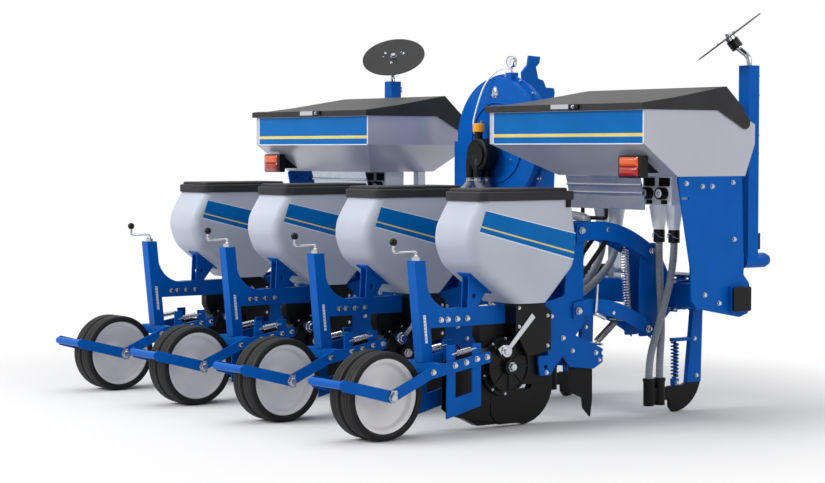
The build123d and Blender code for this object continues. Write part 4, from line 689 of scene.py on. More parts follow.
@dataclass
class PressWheel:
    """Press wheel of one row: ribbed tyre on a pressed rim."""

    number: int
    radius: float = 185.0
    half_width: float = 78.0
    rim_radius: float = 155.0
    rim_half: float = 64.0

    def build(self) -> None:
        """Makes the tyre and the rim about the wheel's axis."""
        low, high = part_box(f"tyre_{self.number}")
        centre = (np.array(low) + np.array(high)) / 2
        body = f"wheel_{self.number}"
        for name, patches in (("tyre", [self.tyre()]), ("rim", self.rim())):
            placed = [turned(patch, (1, 0, 0), centre) for patch in patches]
            publish(f"{name}_{self.number}_dressed", placed, body, (f"{name}_{self.number}",))

    def tyre(self) -> Patch:
        """Tyre section: two ribs with fine grooves, round shoulders and a ringed wall."""
        radius, half, bead = self.radius, self.half_width, self.rim_radius
        side = [(bead + 0.2, half - 12), (bead + 3, half - 3), (bead + 8, half), (bead + 11, half),
                (bead + 12, half - 1.2), (bead + 15, half - 1.2), (bead + 16, half), (radius - 9, half - 0.5),
                (radius - 3, half - 5), (radius - 0.4, half - 13)]
        for groove in (half - 26, half - 44):
            side += [(radius, groove + 1.6), (radius - 2.2, groove + 1.0), (radius - 2.2, groove - 1.0),
                     (radius, groove - 1.6)]
        side += [(radius, 12.5), (radius - 1.5, 11), (radius - 11, 6.5), (radius - 12, 5)]
        mirrored = [(r, -x) for r, x in reversed(side)]
        return lathe(side + mirrored + [(bead + 0.2, 12 - half), (bead + 0.2, half - 12)], RUBBER, 120)

    def rim(self) -> list[Patch]:
        """Rim section: rolled flange, well, dished disc and hub, the same on both sides."""
        half, edge = self.rim_half, self.rim_radius
        face = [(11, 75), (26, 75), (28, 73), (28, 50), (33, 40), (44, 33), (70, 28), (84, 27), (104, 31),
                (116, 34), (126, 36), (130, 38), (134, 44), (137, 52), (140, 58), (145, 61), (149, 63),
                (153, 65), (edge + 1.5, 66), (edge + 2.2, 64.5), (edge + 1.6, 62.5), (edge - 1, half - 2),
                (edge - 1, 0)]
        back = [(r, -x) for r, x in reversed(face[:-1])]
        return [lathe(face + back, RIM_PAINT, 96)]


@dataclass
class SeedHopper:
    """Seed hopper of one row with its striped sides and hinged lid."""

    number: int
    # Corners of the stripe on the side: along, up
    corners: tuple = ((-533.0, 943.0), (-34.0, 836.0), (-46.0, 719.0), (-568.0, 849.0))
    # Moulded rear wall: heights of its cuts (first, last, step), slack in finding them, cuts in one bend,
    # and the middle of the hopper, which stays
    cut_span: tuple = (556.0, 972.0, 8.0)
    cut_slack: float = 0.05
    bend_cuts: int = 13
    middle_y: float = -290.0
    # Catch of the lid: out from the side, along, up, eased edge
    catch_reach: tuple = (0.8, 6.5)
    catch_y: tuple = (-92.0, -66.0)
    catch_z: tuple = (948.0, 1000.0)
    catch_ease: float = 3.0
    # Films of the stripe: share of its height from the top, to, finish
    bands: tuple = ((0.00, 0.035, VINYL_WHITE), (0.035, 0.70, VINYL_BLUE), (0.70, 0.76, VINYL_YELLOW),
                    (0.76, 0.955, VINYL_BLUE), (0.955, 1.00, VINYL_WHITE))

    def build(self) -> None:
        """Dresses hopper and lid, lays the stripes on both sides and hangs the catches."""
        hopper, lid = f"seed_hopper_{self.number}", f"seed_lid_{self.number}"
        self.fair(eased_copy(hopper, HOPPER_PLASTIC, 1.2))
        eased_copy(lid, LID_PLASTIC, 1.2)
        low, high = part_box(hopper)
        stripes, catches = [], []
        for x, sign in ((high.x * 1000, 1), (low.x * 1000, -1)):
            stripes += [self.band(x + sign * FILM_MM, *row, sign) for row in self.bands]
            reach = tuple(sorted(x + sign * out for out in self.catch_reach))
            catches.append(box_patch(reach, self.catch_y, self.catch_z, BLACK_PLASTIC, self.catch_ease))
        publish(f"seed_stripes_{self.number}", stripes, "frame", recalculate=False)
        publish(f"seed_catches_{self.number}", catches, lid)

    def fair(self, piece: bpy.types.Object) -> None:
        """Rounds the rear wall's bends: its line y(z) at even cuts becomes its mean under a Hann window.

        Args:
            piece: Dressed hopper.
        """
        heights = np.arange(*self.cut_span)
        with opened(piece.data) as work:
            for height in heights:
                bmesh.ops.bisect_plane(work, geom=[*work.verts, *work.edges, *work.faces], dist=SEAM_M,
                                       plane_co=(0, 0, height / 1000), plane_no=(0, 0, 1))
        flat = np.empty(3 * len(piece.data.vertices))
        piece.data.vertices.foreach_get("co", flat)
        points = flat.reshape(-1, 3)
        y, z = 1000 * (points[:, 1] - LINE_SHIFT), 1000 * points[:, 2]
        at_cut = np.abs(z[:, None] - heights) < self.cut_slack
        made = np.where(at_cut, y[:, None], np.inf).min(axis=0)
        window = np.hanning(self.bend_cuts + 2)[1:-1]
        padded = np.pad(made, self.bend_cuts // 2, mode="reflect", reflect_type="odd")
        eased = np.convolve(padded, window / window.sum(), mode="valid")
        rear = np.interp(z, heights, made)
        share = np.clip((self.middle_y - y) / (self.middle_y - rear), 0, 1)
        moved = share * (np.interp(z, heights, eased) - rear)
        points[:, 1] += moved / 1000
        piece.data.vertices.foreach_set("co", flat)
        piece.data.update()
        LOG.info("%s eased by up to %.1f mm", piece.name, np.abs(moved).max())

    def band(self, x: float, start: float, end: float, finish: Finish, sign: int) -> Patch:
        """One film of the stripe: the side's four corners mixed by height and length.

        Args:
            x: Place across the machine in millimetres.
            start: Share of the height where the film begins, from the top.
            end: Share where it ends.
            finish: What it wears.
            sign: Side that it faces.

        Returns:
            The surface, facing outwards.
        """
        top_rear, top_front, low_front, low_rear = (np.array(corner) for corner in self.corners)
        share = np.array([start, end])[:, None]
        rear, front = top_rear + share * (low_rear - top_rear), top_front + share * (low_front - top_front)
        outline = np.stack([rear, front], 1)
        points = np.concatenate([np.full(outline.shape[:2] + (1,), x), outline], -1)
        return grid(mm(points if sign < 0 else points[:, ::-1]), finish)


@dataclass
class FertiliserHopper:
    """Fertiliser hopper of one side with its striped rear face, lid and latch."""

    side: Side
    # Rear face: its plane, the fold below the stripe, bare margins at the stripe's ends, pale border
    rear_y: float = 107.0
    fold_z: float = 1223.0
    margin: float = 30.0
    end_margin: float = 10.0
    border: float = 8.0
    border_gap: float = 2.0
    # Latch on the lid's band: height, half length and half height of the hasp, catch from and to, its half
    # height, how far hasp and catch stand out, and how far they seat
    latch_z: float = 1387.0
    hasp_half: tuple = (60.0, 11.0)
    catch_span: tuple = (66.0, 130.0)
    catch_half: float = 12.0
    latch_out: tuple = (3.0, 9.0)
    latch_seat: float = 0.5
    # Films of the stripe: share of its height from the top, to, finish
    bands: tuple = ((0.02, 0.69, VINYL_BLUE), (0.69, 0.79, VINYL_YELLOW), (0.79, 0.985, VINYL_BLUE),
                    (0.985, 1.02, VINYL_WHITE))

    def build(self) -> None:
        """Dresses hopper and lid, lays the rear stripe and adds the latch."""
        word = self.side.word
        eased_copy(f"fert_hopper_{word}", SILVER_SHEET, 3.0, 3)
        eased_copy(f"fert_lid_{word}", LID_PLASTIC, 4.0, 3)
        low, high = (np.array(corner) * 1000 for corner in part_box(f"fert_hopper_{word}"))
        top, left, right = high[2], low[0] + self.margin, high[0] - self.end_margin
        drop = top - self.fold_z
        patches = [self.film_patch(left, right, top - start * drop, top - end * drop, finish)
                   for start, end, finish in self.bands]
        patches += [self.film_patch(edge, edge + self.border, top - self.border_gap,
                                    self.fold_z + self.border_gap, VINYL_WHITE)
                    for edge in (left - self.border, right)]
        publish(f"fert_stripes_{word}", patches, "frame", recalculate=False)
        self.latch((low[0] + high[0]) / 2)

    def film_patch(self, x0: float, x1: float, z0: float, z1: float, finish: Finish) -> Patch:
        """Film on the rear face between two places across and two heights, in millimetres."""
        y = self.rear_y - FILM_MM
        return grid(mm([[(x0, y, z0), (x1, y, z0)], [(x0, y, z1), (x1, y, z1)]]), finish)

    def latch(self, x: float) -> None:
        """Zinc hasp with its black catch on the lid's rear band."""
        low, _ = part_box(f"fert_lid_{self.side.word}")
        y, z = (low.y - LINE_SHIFT) * 1000, self.latch_z
        (length, height), (start, end) = self.hasp_half, self.catch_span
        hasp_y, catch_y = ((y - out, y + self.latch_seat) for out in self.latch_out)
        parts = [box_patch((x - length, x + length), hasp_y, (z - height, z + height), ZINC),
                 box_patch((x + start, x + end), catch_y, (z - self.catch_half, z + self.catch_half),
                           BLACK_PLASTIC, 4.0),
                 bolts([(x + (start + end) / 2, catch_y[0], z)], (0, -1, 0), 12, Head.DOME)]
        publish(f"fert_latch_{self.side.word}", parts, f"fert_lid_{self.side.word}")


@dataclass
class RowUnits:
    """What the four rows share: frames, arms, linkage, springs, cranks and openers."""

    rows: list[float] = field(default_factory=row_places)
    # Links: rear pins (along, up), length along, drop to the front pin, height of the arch
    link_rear: tuple = ((58.0, 842.0), (40.0, 488.0))
    link_run: float = 420.0
    link_drop: float = 101.0
    link_arch: float = 44.0
    # Cheek plates: share of the link past its pins, reach over and under each link, place, thickness
    plate_past: float = 0.055
    plate_over: tuple = (30.0, 40.0)
    plate_under: tuple = (52.0, 30.0)
    plate_x: float = 62.0
    plate_thick: float = 3.5
    column_half: float = 28.0
    column_top: tuple = (-799.0, 734.0)
    column_foot: tuple = (-757.0, 308.0)
    # Depth scale: foot and head, half width
    scale_span: tuple = (388.0, 506.0)
    scale_half: float = 6.5
    # Marks of the scale: film, share of the half width, first and last gap, pitch, height
    mark_film: float = 0.3
    mark_share: float = 0.4
    mark_gaps: tuple = (12.0, 6.0)
    mark_pitch: float = 14.0
    mark_height: float = 2.5
    # Metering unit: centre, lever's foot and head, screws of its case (along, up), places across
    meter_centre: tuple = (-353.0, 268.0)
    lever_foot: tuple = (-392.0, 339.0)
    lever_head: tuple = (-253.0, 478.0)
    case_screws: tuple = ((-322.0, 520.0), (-162.0, 480.0), (-162.0, 350.0), (-322.0, 440.0))
    cover_x: float = 45.0
    hub_x: float = 89.0
    case_x: float = 100.0
    lever_x: float = 101.0
    # Bright spring of the linkage: foot and head (along, up), then coil radius, turns and wire radius
    coil_ends: tuple = ((399.0, 452.0), (376.0, 748.0))
    coil_size: tuple = (15.5, 24, 3.2)
    # Its hooks: along, up and way, then out and back
    hooks: tuple = ((399.5, 448.0, -1), (375.5, 752.0, 1))
    hook_reach: tuple = (22.0, 14.0)
    # Dark lift spring: pins (along, up), their half lengths and radius, coil's distance from them, its size
    lift_pins: tuple = ((200.0, 330.0), (338.0, 434.0))
    lift_pin_half: tuple = (53.0, 63.0)
    lift_pin_radius: float = 6.0
    lift_gap: float = 20.0
    lift_tail: float = 24.0
    lift_size: tuple = (13.0, 15, 3.4)
    stay_x: tuple = (-50.0, 44.0)
    stay_thick: float = 6.0
    # Locking lever and its catch: bends of their bars (across, along, up)
    lock_bar: tuple = ((60, 140, 472), (76, 138, 480), (78, 147, 603))
    lock_catch: tuple = ((60, 140, 472), (74, 146, 470), (76, 192, 448))
    # Bolts on the body's front edge: from the row's middle, along, heights
    edge_x: float = 47.0
    edge_y: float = 196.0
    edge_z: tuple = (306.0, 278.0)
    # Axle straps: from and to across, along, up, then their bolts (along, up)
    strap_x: tuple = (114.0, 121.0)
    strap_y: tuple = (-1014.0, -984.0)
    strap_z: tuple = (158.0, 214.0)
    strap_bolts: tuple = ((-999.0, 170.0), (-999.0, 202.0))
    # Closer springs: from the row's middle, foot and head (along, up), coil radius, turns and wire radius
    closer_x: float = 100.0
    closer_ends: tuple = ((-664.0, 346.0), (-586.0, 358.0))
    closer_size: tuple = (10.0, 9, 2.4)
    closer_rod: tuple = ((-690.0, 342.0), (-625.0, 352.0), (-560.0, 362.0))
    # Crank: bar from the column's top to the ball (across, along, up)
    crank_bar: tuple = ((0, 0, 18), (0, 0, 36), (-75, -62, 30), (-75, -62, 66))
    crank_ball: tuple = (-75, -62, 76)
    # Solids of the rows: node, finish, eased edge
    solids: tuple = (
        ("row_frames", BLUE_PAINT, 2.5), ("wheel_arms", BLUE_PAINT, 2.5), ("parallel_arms", BLUE_PAINT, 2.0),
        ("row_brackets", BLUE_PAINT, 2.0), ("furrow_closers", BLUE_PAINT, 1.2),
        ("metering_units", BLACK_PLASTIC, 1.5), ("seed_openers", BLACK_PAINT, 1.5),
        ("clod_blades", BLACK_PAINT, 1.5))
    # Fasteners on both sides of a row: distance from its middle, along, up, width
    heads: tuple = (
        (114, -796, 275, 19), (114, -682, 297, 19), (114, -623, 306, 19), (114, -565, 317, 19),
        (114, -511, 322, 19), (114, WHEEL_LINE_MM, 185, 30), (25, -688, 482, 19), (25, -652, 482, 19),
        (25, -601, 482, 19), (25, -547, 482, 19), (25, -208, 486, 14), (71, 58, 842, 24), (71, 478, 741, 24),
        (71, 40, 488, 24), (71, 460, 387, 24), (62, 214, 842, 19), (62, 250, 470, 17), (52, -34, 372, 17),
        (52, 22, 312, 15), (52, 158, 296, 17), (52, 180, 262, 13), (52, -128, 226, 15), (52, -100, 470, 15))

    def build(self) -> None:
        """Dresses the row solids and adds springs, fasteners, scales and levers."""
        dress(self.solids)
        # The opener cheeks' piece also holds dark sheets of painted shade between metering unit and body and
        # in the bay above
        for name, maker in (("row_fasteners", self.fasteners), ("depth_scales", self.scale),
                            ("metering_fittings", self.metering), ("row_levers", self.levers),
                            ("opener_cheeks", self.cheeks), ("lift_springs", self.lift),
                            ("link_plates", self.plates)):
            publish(name, at_each(maker, self.rows), "frame")
        publish("arm_springs_dressed", at_each(self.spring, self.rows), "frame", ("arm_springs",))
        publish("depth_cranks_dressed", at_each(self.crank, self.rows), "frame", ("depth_cranks",))

    def spring(self, x: float) -> list[Patch]:
        """Bright coil of the linkage between its cross pins, with its hooked ends."""
        foot, head = ((x, *end) for end in self.coil_ends)
        out, back = self.hook_reach
        hooks = [tube(mm(rounded([(x, y, z), (x, y, z + way * out), (x, y, z + way * back)], 3)),
                      self.coil_size[-1] / 1000, ZINC, 8) for y, z, way in self.hooks]
        return [helix(foot, head, *self.coil_size, ZINC), *hooks]

    def fasteners(self, x: float) -> list[Patch]:
        """Bolt heads of one row on both sides."""
        return [bolts([(x + sign * offset, y, z)], (sign, 0, 0), width)
                for offset, y, z, width in self.heads for sign in (-1, 1)]

    def column_y(self, z: float) -> float:
        """Middle of the leaning column at a height."""
        (top_y, top_z), (foot_y, foot_z) = self.column_top, self.column_foot
        return foot_y + (top_y - foot_y) / (top_z - foot_z) * (z - foot_z)

    def scale(self, x: float) -> list[Patch]:
        """Pale depth scale with dark marks on both sides of the column."""
        (low, high), half = self.scale_span, self.scale_half
        patches = []
        for sign in (-1, 1):
            side = x + sign * (self.column_half + FILM_MM)
            strip = [[(side, self.column_y(z) + edge, z) for edge in (-half, half)] for z in (low, high)]
            patches.append(grid(mm(strip), VINYL_WHITE))
            for z in np.arange(low + self.mark_gaps[0], high - self.mark_gaps[1], self.mark_pitch):
                mark = [[(side + sign * self.mark_film, self.column_y(z) + edge, z + rise)
                         for edge in (-half, self.mark_share * half)] for rise in (0, self.mark_height)]
                patches.append(grid(mm(mark), VINYL_BLACK))
        return patches

    def metering(self, x: float) -> list[Patch]:
        """Screws and hub nut of a metering unit, and its shut-off lever with ear and pin."""
        places = self.meter_centre, self.lever_foot, self.lever_head
        centre, foot, head = (np.array(place) for place in places)
        along = (head - foot) / np.linalg.norm(head - foot)
        across = np.array([-along[1], along[0]])
        lever = [foot - 12 * along + 9 * across, foot - 12 * along - 9 * across,
                 head + 10 * along - 13 * across, head + 10 * along + 13 * across]
        ear = [foot + 30 * along - 6 * across, foot + 8 * along + 30 * across,
               foot - 24 * along + 40 * across, foot - 30 * along + 8 * across]
        hub = [(0, 14), (14, 14), (16, 12), (16, 6), (25, 6), (27, 4), (27, 0), (0, 0)]
        side, right = x + self.lever_x, (1, 0, 0)
        screws = np.insert(centre + even_ring(10, 119, 0.3), 0, x + self.cover_x, axis=1)
        return [bolts(screws, right, 9, Head.DOME), bolts([(x + self.hub_x, *centre)], right, 30),
                bolts([(x + self.case_x, *place) for place in self.case_screws], right, 11, Head.DOME),
                slab_patch(lever, side, side + 5, ZINC),
                turned(lathe(hub, CHROME, 28), right, mm((side, *foot))),
                slab_patch(ear, side - 4, side, CHROME),
                tube(mm([(x + reach, *foot) for reach in (70, 90, 112)]), 0.007, ZINC, 14)]

    def cheeks(self, x: float) -> list[Patch]:
        """Black cheeks behind the opener, and painted shade: dark sheets between metering unit and body and
        in the bay above.
        """
        rear = [(-645, 96), (-600, 62), (-430, 32), (-412, 210), (-440, 330), (-600, 330), (-645, 290)]
        # Painted shade: dark sheets that fill the gap between metering unit and body, and the bay above it
        painted_shade_gap = [(-300, 180), (-132, 178), (-124, 230), (-142, 330), (-142, 430), (-300, 430)]
        painted_shade_bay = [(-480, 400), (-440, 330), (-300, 330), (-300, 449.5), (-480, 449.5)]
        return [slab_patch(rear, x + low, x + low + 5, BLACK_PAINT) for low in (-27, 22)] + [
            slab_patch(painted_shade_gap, x - 30, x + 30, BLACK_PAINT), slab_patch(painted_shade_bay, x - 24, x + 24, BLACK_PAINT)]

    def plates(self, x: float) -> list[Patch]:
        """Cheek plates on the links: their line follows the arch, rear - drop t + 4 arch t (1 - t).

        Args:
            x: Place of the row across the machine.

        Returns:
            Two plates on each link.
        """
        share = np.linspace(-self.plate_past, 1 + self.plate_past, 25)
        patches = []
        for (y, z), over, under in zip(self.link_rear, self.plate_over, self.plate_under):
            line = z - self.link_drop * share + 4 * self.link_arch * share * (1 - share)
            along = y + self.link_run * share
            foot, head = np.column_stack([along, line - under]), np.column_stack([along, line + over])
            patches += [strip_patch(foot, head, x + low, x + low + self.plate_thick, BLUE_PAINT)
                        for low in (self.plate_x, -self.plate_x - self.plate_thick)]
        return patches

    def lift(self, x: float) -> list[Patch]:
        """Dark coil under the linkage on its two cross pins, and the stays beside the body."""
        low, high = (np.array([x, *pin]) for pin in self.lift_pins)
        along = (high - low) / np.linalg.norm(high - low)
        gap, tail, wire = self.lift_gap * along, self.lift_tail * along, self.lift_size[-1] / 1000
        patches = [helix(low + gap, high - gap, *self.lift_size, SPRING_STEEL)]
        patches += [tube(mm([pin + (-half, 0, 0), pin, pin + (half, 0, 0)]), self.lift_pin_radius / 1000,
                         ZINC, 12) for pin, half in zip((low, high), self.lift_pin_half)]
        patches += [tube(mm(ends), wire, SPRING_STEEL, 8)
                    for ends in ((low, low + tail), (high - tail, high))]
        stay = [(66, 640), (82, 628), (246, 800), (230, 814)]
        return patches + [slab_patch(stay, x + side, x + side + self.stay_thick, BLACK_PAINT)
                          for side in self.stay_x]

    def levers(self, x: float) -> list[Patch]:
        """Locking lever on the body, edge bolts, axle straps and the closer springs on their rods."""
        bar, catch = (np.array(bends) + (x, 0, 0) for bends in (self.lock_bar, self.lock_catch))
        edge = [bolts([(x + place, self.edge_y, z) for place in (-self.edge_x, self.edge_x)], (0, 1, 0), 13)
                for z in self.edge_z]
        return [tube(mm(rounded(bar, 10, 5)), 0.007, CHROME, 12),
                tube(mm(rounded(catch, 8)), 0.009, ZINC, 12), *edge, *self.straps(x), *self.closers(x)]

    def straps(self, x: float) -> list[Patch]:
        """Zinc strap with two bolts on each end of the wheel's axle."""
        patches = []
        for face in (-1, 1):
            near, far = (x + face * reach for reach in self.strap_x)
            patches += [box_patch(sorted((near, far)), self.strap_y, self.strap_z, ZINC, 4.0),
                        bolts([(far, *place) for place in self.strap_bolts], (face, 0, 0), 13)]
        return patches

    def closers(self, x: float) -> list[Patch]:
        """Chromed coil on its rod at both sides, which draws the furrow closers down."""
        patches = []
        for place in (x - self.closer_x, x + self.closer_x):
            foot, head = ((place, *end) for end in self.closer_ends)
            rod = [(place, *point) for point in self.closer_rod]
            patches += [helix(foot, head, *self.closer_size, CHROME), tube(mm(rod), 0.005, ZINC, 12)]
        return patches

    def crank(self, x: float) -> list[Patch]:
        """Chromed crank with a black ball, bent from one bar."""
        foot = np.array([x, *self.column_top])
        bar = rounded(foot + np.array(self.crank_bar, float), 14, 6)
        knob = [(0, 17), (5, 16.2), (10, 13.7), (14.5, 9), (17, 0), (14.5, -9), (10, -13.7), (8, -15),
                (0, -15)]
        collar = [(0, 22), (9, 22), (11, 20), (11, 14), (19, 14), (19, 0), (0, 0)]
        return [tube(mm(bar), 0.006, CHROME, 14), turned(lathe(collar, CHROME, 24), (0, 0, 1), mm(foot)),
                turned(lathe(knob, BLACK_PLASTIC, 28), (0, 0, 1), mm(foot + self.crank_ball))]


@dataclass
class VacuumSystem:
    """Fan, belt case, manifold, hoses and gauge."""

    rows: list[float] = field(default_factory=row_places)
    # Hoses: radius, pitch and depth of the rings, height of the outlets, end at the metering unit
    hose_radius: float = 21.0
    ring_pitch: float = 10.0
    ring_depth: float = 3.2
    outlet_z: float = 1060.0
    hose_end: tuple = (-100.0, -240.0, 330.0)
    hose_lean: float = 80.0
    manifold: tuple = (-60.0, 478.0)
    fan: tuple = (0.0, 545.0, 1240.0)
    # Bolt rings of the fan: count, radius, along, side that they face, width
    fan_rings: tuple = ((18, 325.0, 589.0, -1, 12.0), (8, 150.0, 545.0, -1, 14.0),
                        (18, 325.0, 597.0, 1, 12.0))
    # Drum of the manifold that the rear bolts keep clear of: across, up, radius
    drum: tuple = (-30.0, 1170.0, 92.0)
    # Bright eye on the fan's rear face: across, up, half width, half height, how far it stands out
    eye_place: tuple = (-12.0, 1480.0)
    eye_half: tuple = (21.0, 33.0)
    eye_rise: float = 8.0
    # Stub of the power shaft: root radius, splined length and radius, groove depth, end's ease and radius
    stub_root: float = 20.0
    stub_length: float = 100.0
    stub_radius: float = 17.4
    groove_depth: float = 2.6
    stub_end: tuple = (2.0, 15.5)
    # Solids of the vacuum line: node, finish, eased edge
    solids: tuple = (
        ("fan_housing", BLUE_PAINT, 2.0), ("belt_case", BLUE_PAINT, 4.0),
        ("vacuum_manifold", BLACK_PLASTIC, 5.0), ("relief_cap", CAP_PLASTIC, 5.0))
    # Outlets of the manifold: across, along, and where the hose turns down
    outlets: tuple = ((-30.0, -26.0, 400.0), (-30.0, 26.0, 420.0), (30.0, 26.0, 420.0), (30.0, -26.0, 330.0))

    def build(self) -> None:
        """Dresses the vacuum pieces."""
        dress(self.solids, 3)
        publish("vacuum_hoses_dressed", self.hoses(), "frame", ("vacuum_hoses",))
        publish("vacuum_gauge_dressed", self.gauge(), "frame", ("vacuum_gauge",))
        publish("fan_fasteners", self.fasteners(), "frame")
        publish("pto_shaft_dressed", self.shaft(), "pto_shaft", ("pto_shaft",))

    def hoses(self) -> list[Patch]:
        """Corrugated hoses from the manifold to each row with a band at both ends."""
        patches = []
        for outlet, x in zip(self.outlets, self.rows):
            top = np.array([self.manifold[0] + outlet[0], self.manifold[1] + outlet[1], self.outlet_z])
            end = np.array([x, 0.0, 0.0]) + self.hose_end
            lean = math.copysign(self.hose_lean, top[0] - end[0])
            route = [top, top - (0, 0, 90), ((top[0] + end[0]) / 2, outlet[2], 905),
                     (end[0] + lean, outlet[2] - 40, 896), (end[0], outlet[2] - 80, 866), (end[0], 120, 480),
                     (end[0], -40, 330), end]
            patches.append(corrugated(smooth_route(route), self.hose_radius, self.ring_pitch,
                                      self.ring_depth, HOSE_PVC))
            patches += hose_clamp(top - (0, 0, 14), (0, 0, 1), self.hose_radius)
            patches += hose_clamp(end + (0, 16, 0), (0, 1, 0), self.hose_radius)
        return patches

    def gauge(self) -> list[Patch]:
        """Gauge with a bright bezel, white dial and needle on its stem, and the thin tube to it."""
        low, high = (np.array(corner) * 1000 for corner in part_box("vacuum_gauge"))
        x, y, z = (low[0] + high[0]) / 2, (low[1] + high[1]) / 2 - LINE_SHIFT * 1000, high[2] - 30
        case = [(0, -13), (27, -13), (29, -11), (30, -8), (30, 12), (29, 14), (26.5, 14), (25.5, 11), (0, 11)]
        dial = [(0, 11.4), (25, 11.4), (25, 11)]
        needle = [[(x - 1.2, y - 12, z - 8), (x + 1.2, y - 12, z - 8)],
                  [(x + 11, y - 12, z + 16), (x + 12, y - 12, z + 15)]]
        stem = [(0, 36), (7, 36), (7, 0), (0, 0)]
        pipe = [(x, y, low[2] + 14), (x - 40, y - 24, low[2] + 34), (x - 112, y - 80, low[2] - 40),
                (x - 146, y - 108, low[2] - 170), (self.manifold[0] - 46, self.manifold[1] - 6, 1310),
                (self.manifold[0] - 20, self.manifold[1], 1262)]
        return [turned(lathe(case, CHROME, 40), (0, -1, 0), mm((x, y, z))),
                turned(lathe(dial, VINYL_WHITE, 40), (0, -1, 0), mm((x, y, z))),
                grid(mm(needle), VINYL_BLACK), turned(lathe(stem, ZINC, 16), (0, 0, 1), mm((x, y, low[2]))),
                tube(smooth_route(pipe), 0.004, FUNNEL_PLASTIC, 10)]

    def fasteners(self) -> list[Patch]:
        """Flange bolts on both sides of the fan, the screws of its inlet plate and the eye."""
        patches = []
        for count, radius, y, facing, width in self.fan_rings:
            across, up = even_ring(count, radius, 0.1).T
            places = np.column_stack([across, np.full(count, y), self.fan[2] + up])
            clear = np.hypot(across - self.drum[0], places[:, 2] - self.drum[1]) > self.drum[2]
            patches.append(bolts(places[clear | (facing > 0)], (0, facing, 0), width))
        return [*patches, *self.eye()]

    def eye(self) -> list[Patch]:
        """Bright oval eye with its plug: r (a cos v, b sin v), standing out by rise (1 - r^4)."""
        radius, turn = np.linspace(0, 1, 9)[:, None], np.linspace(0, math.tau, 40, endpoint=False)[None, :]
        (x, z), (half_x, half_z) = self.eye_place, self.eye_half
        points = np.stack([x + half_x * radius * np.cos(turn),
                           self.fan[1] - self.eye_rise * (1 - radius ** 4) + 0 * turn,
                           z + half_z * radius * np.sin(turn)], -1)
        return [grid(mm(points), CHROME, wrap_v=True),
                bolts([(x, self.fan[1] - 7, z - 12)], (0, -1, 0), 16, Head.DOME)]

    def shaft(self) -> list[Patch]:
        """Six-splined stub: radius R - d (1 + tanh(4 cos 6v)) / 2 on the free end, plain at the root."""
        low, high = (np.array(corner) * 1000 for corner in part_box("pto_shaft"))
        z, start, end = (low[2] + high[2]) / 2, low[1] - LINE_SHIFT * 1000, high[1] - LINE_SHIFT * 1000
        turn = np.linspace(0, math.tau, 96, endpoint=False)
        groove = self.groove_depth * (1 + np.tanh(4 * np.cos(6 * turn))) / 2
        circle = np.column_stack([np.cos(turn), np.zeros(96), np.sin(turn)])
        step, (ease, tip) = end - self.stub_length, self.stub_end
        rows = ((start, 0.0, 0.0), (start, self.stub_root, 0.0), (step, self.stub_root, 0.0),
                (step, self.stub_radius, 1.0), (end - ease, self.stub_radius, 1.0), (end, tip, 0.8),
                (end, 0.0, 0.0))
        points = np.stack([np.array([0, y, z]) + (radius - cut * groove)[:, None] * circle
                           for y, radius, cut in rows])
        return [grid(mm(points), ZINC, wrap_v=True)]


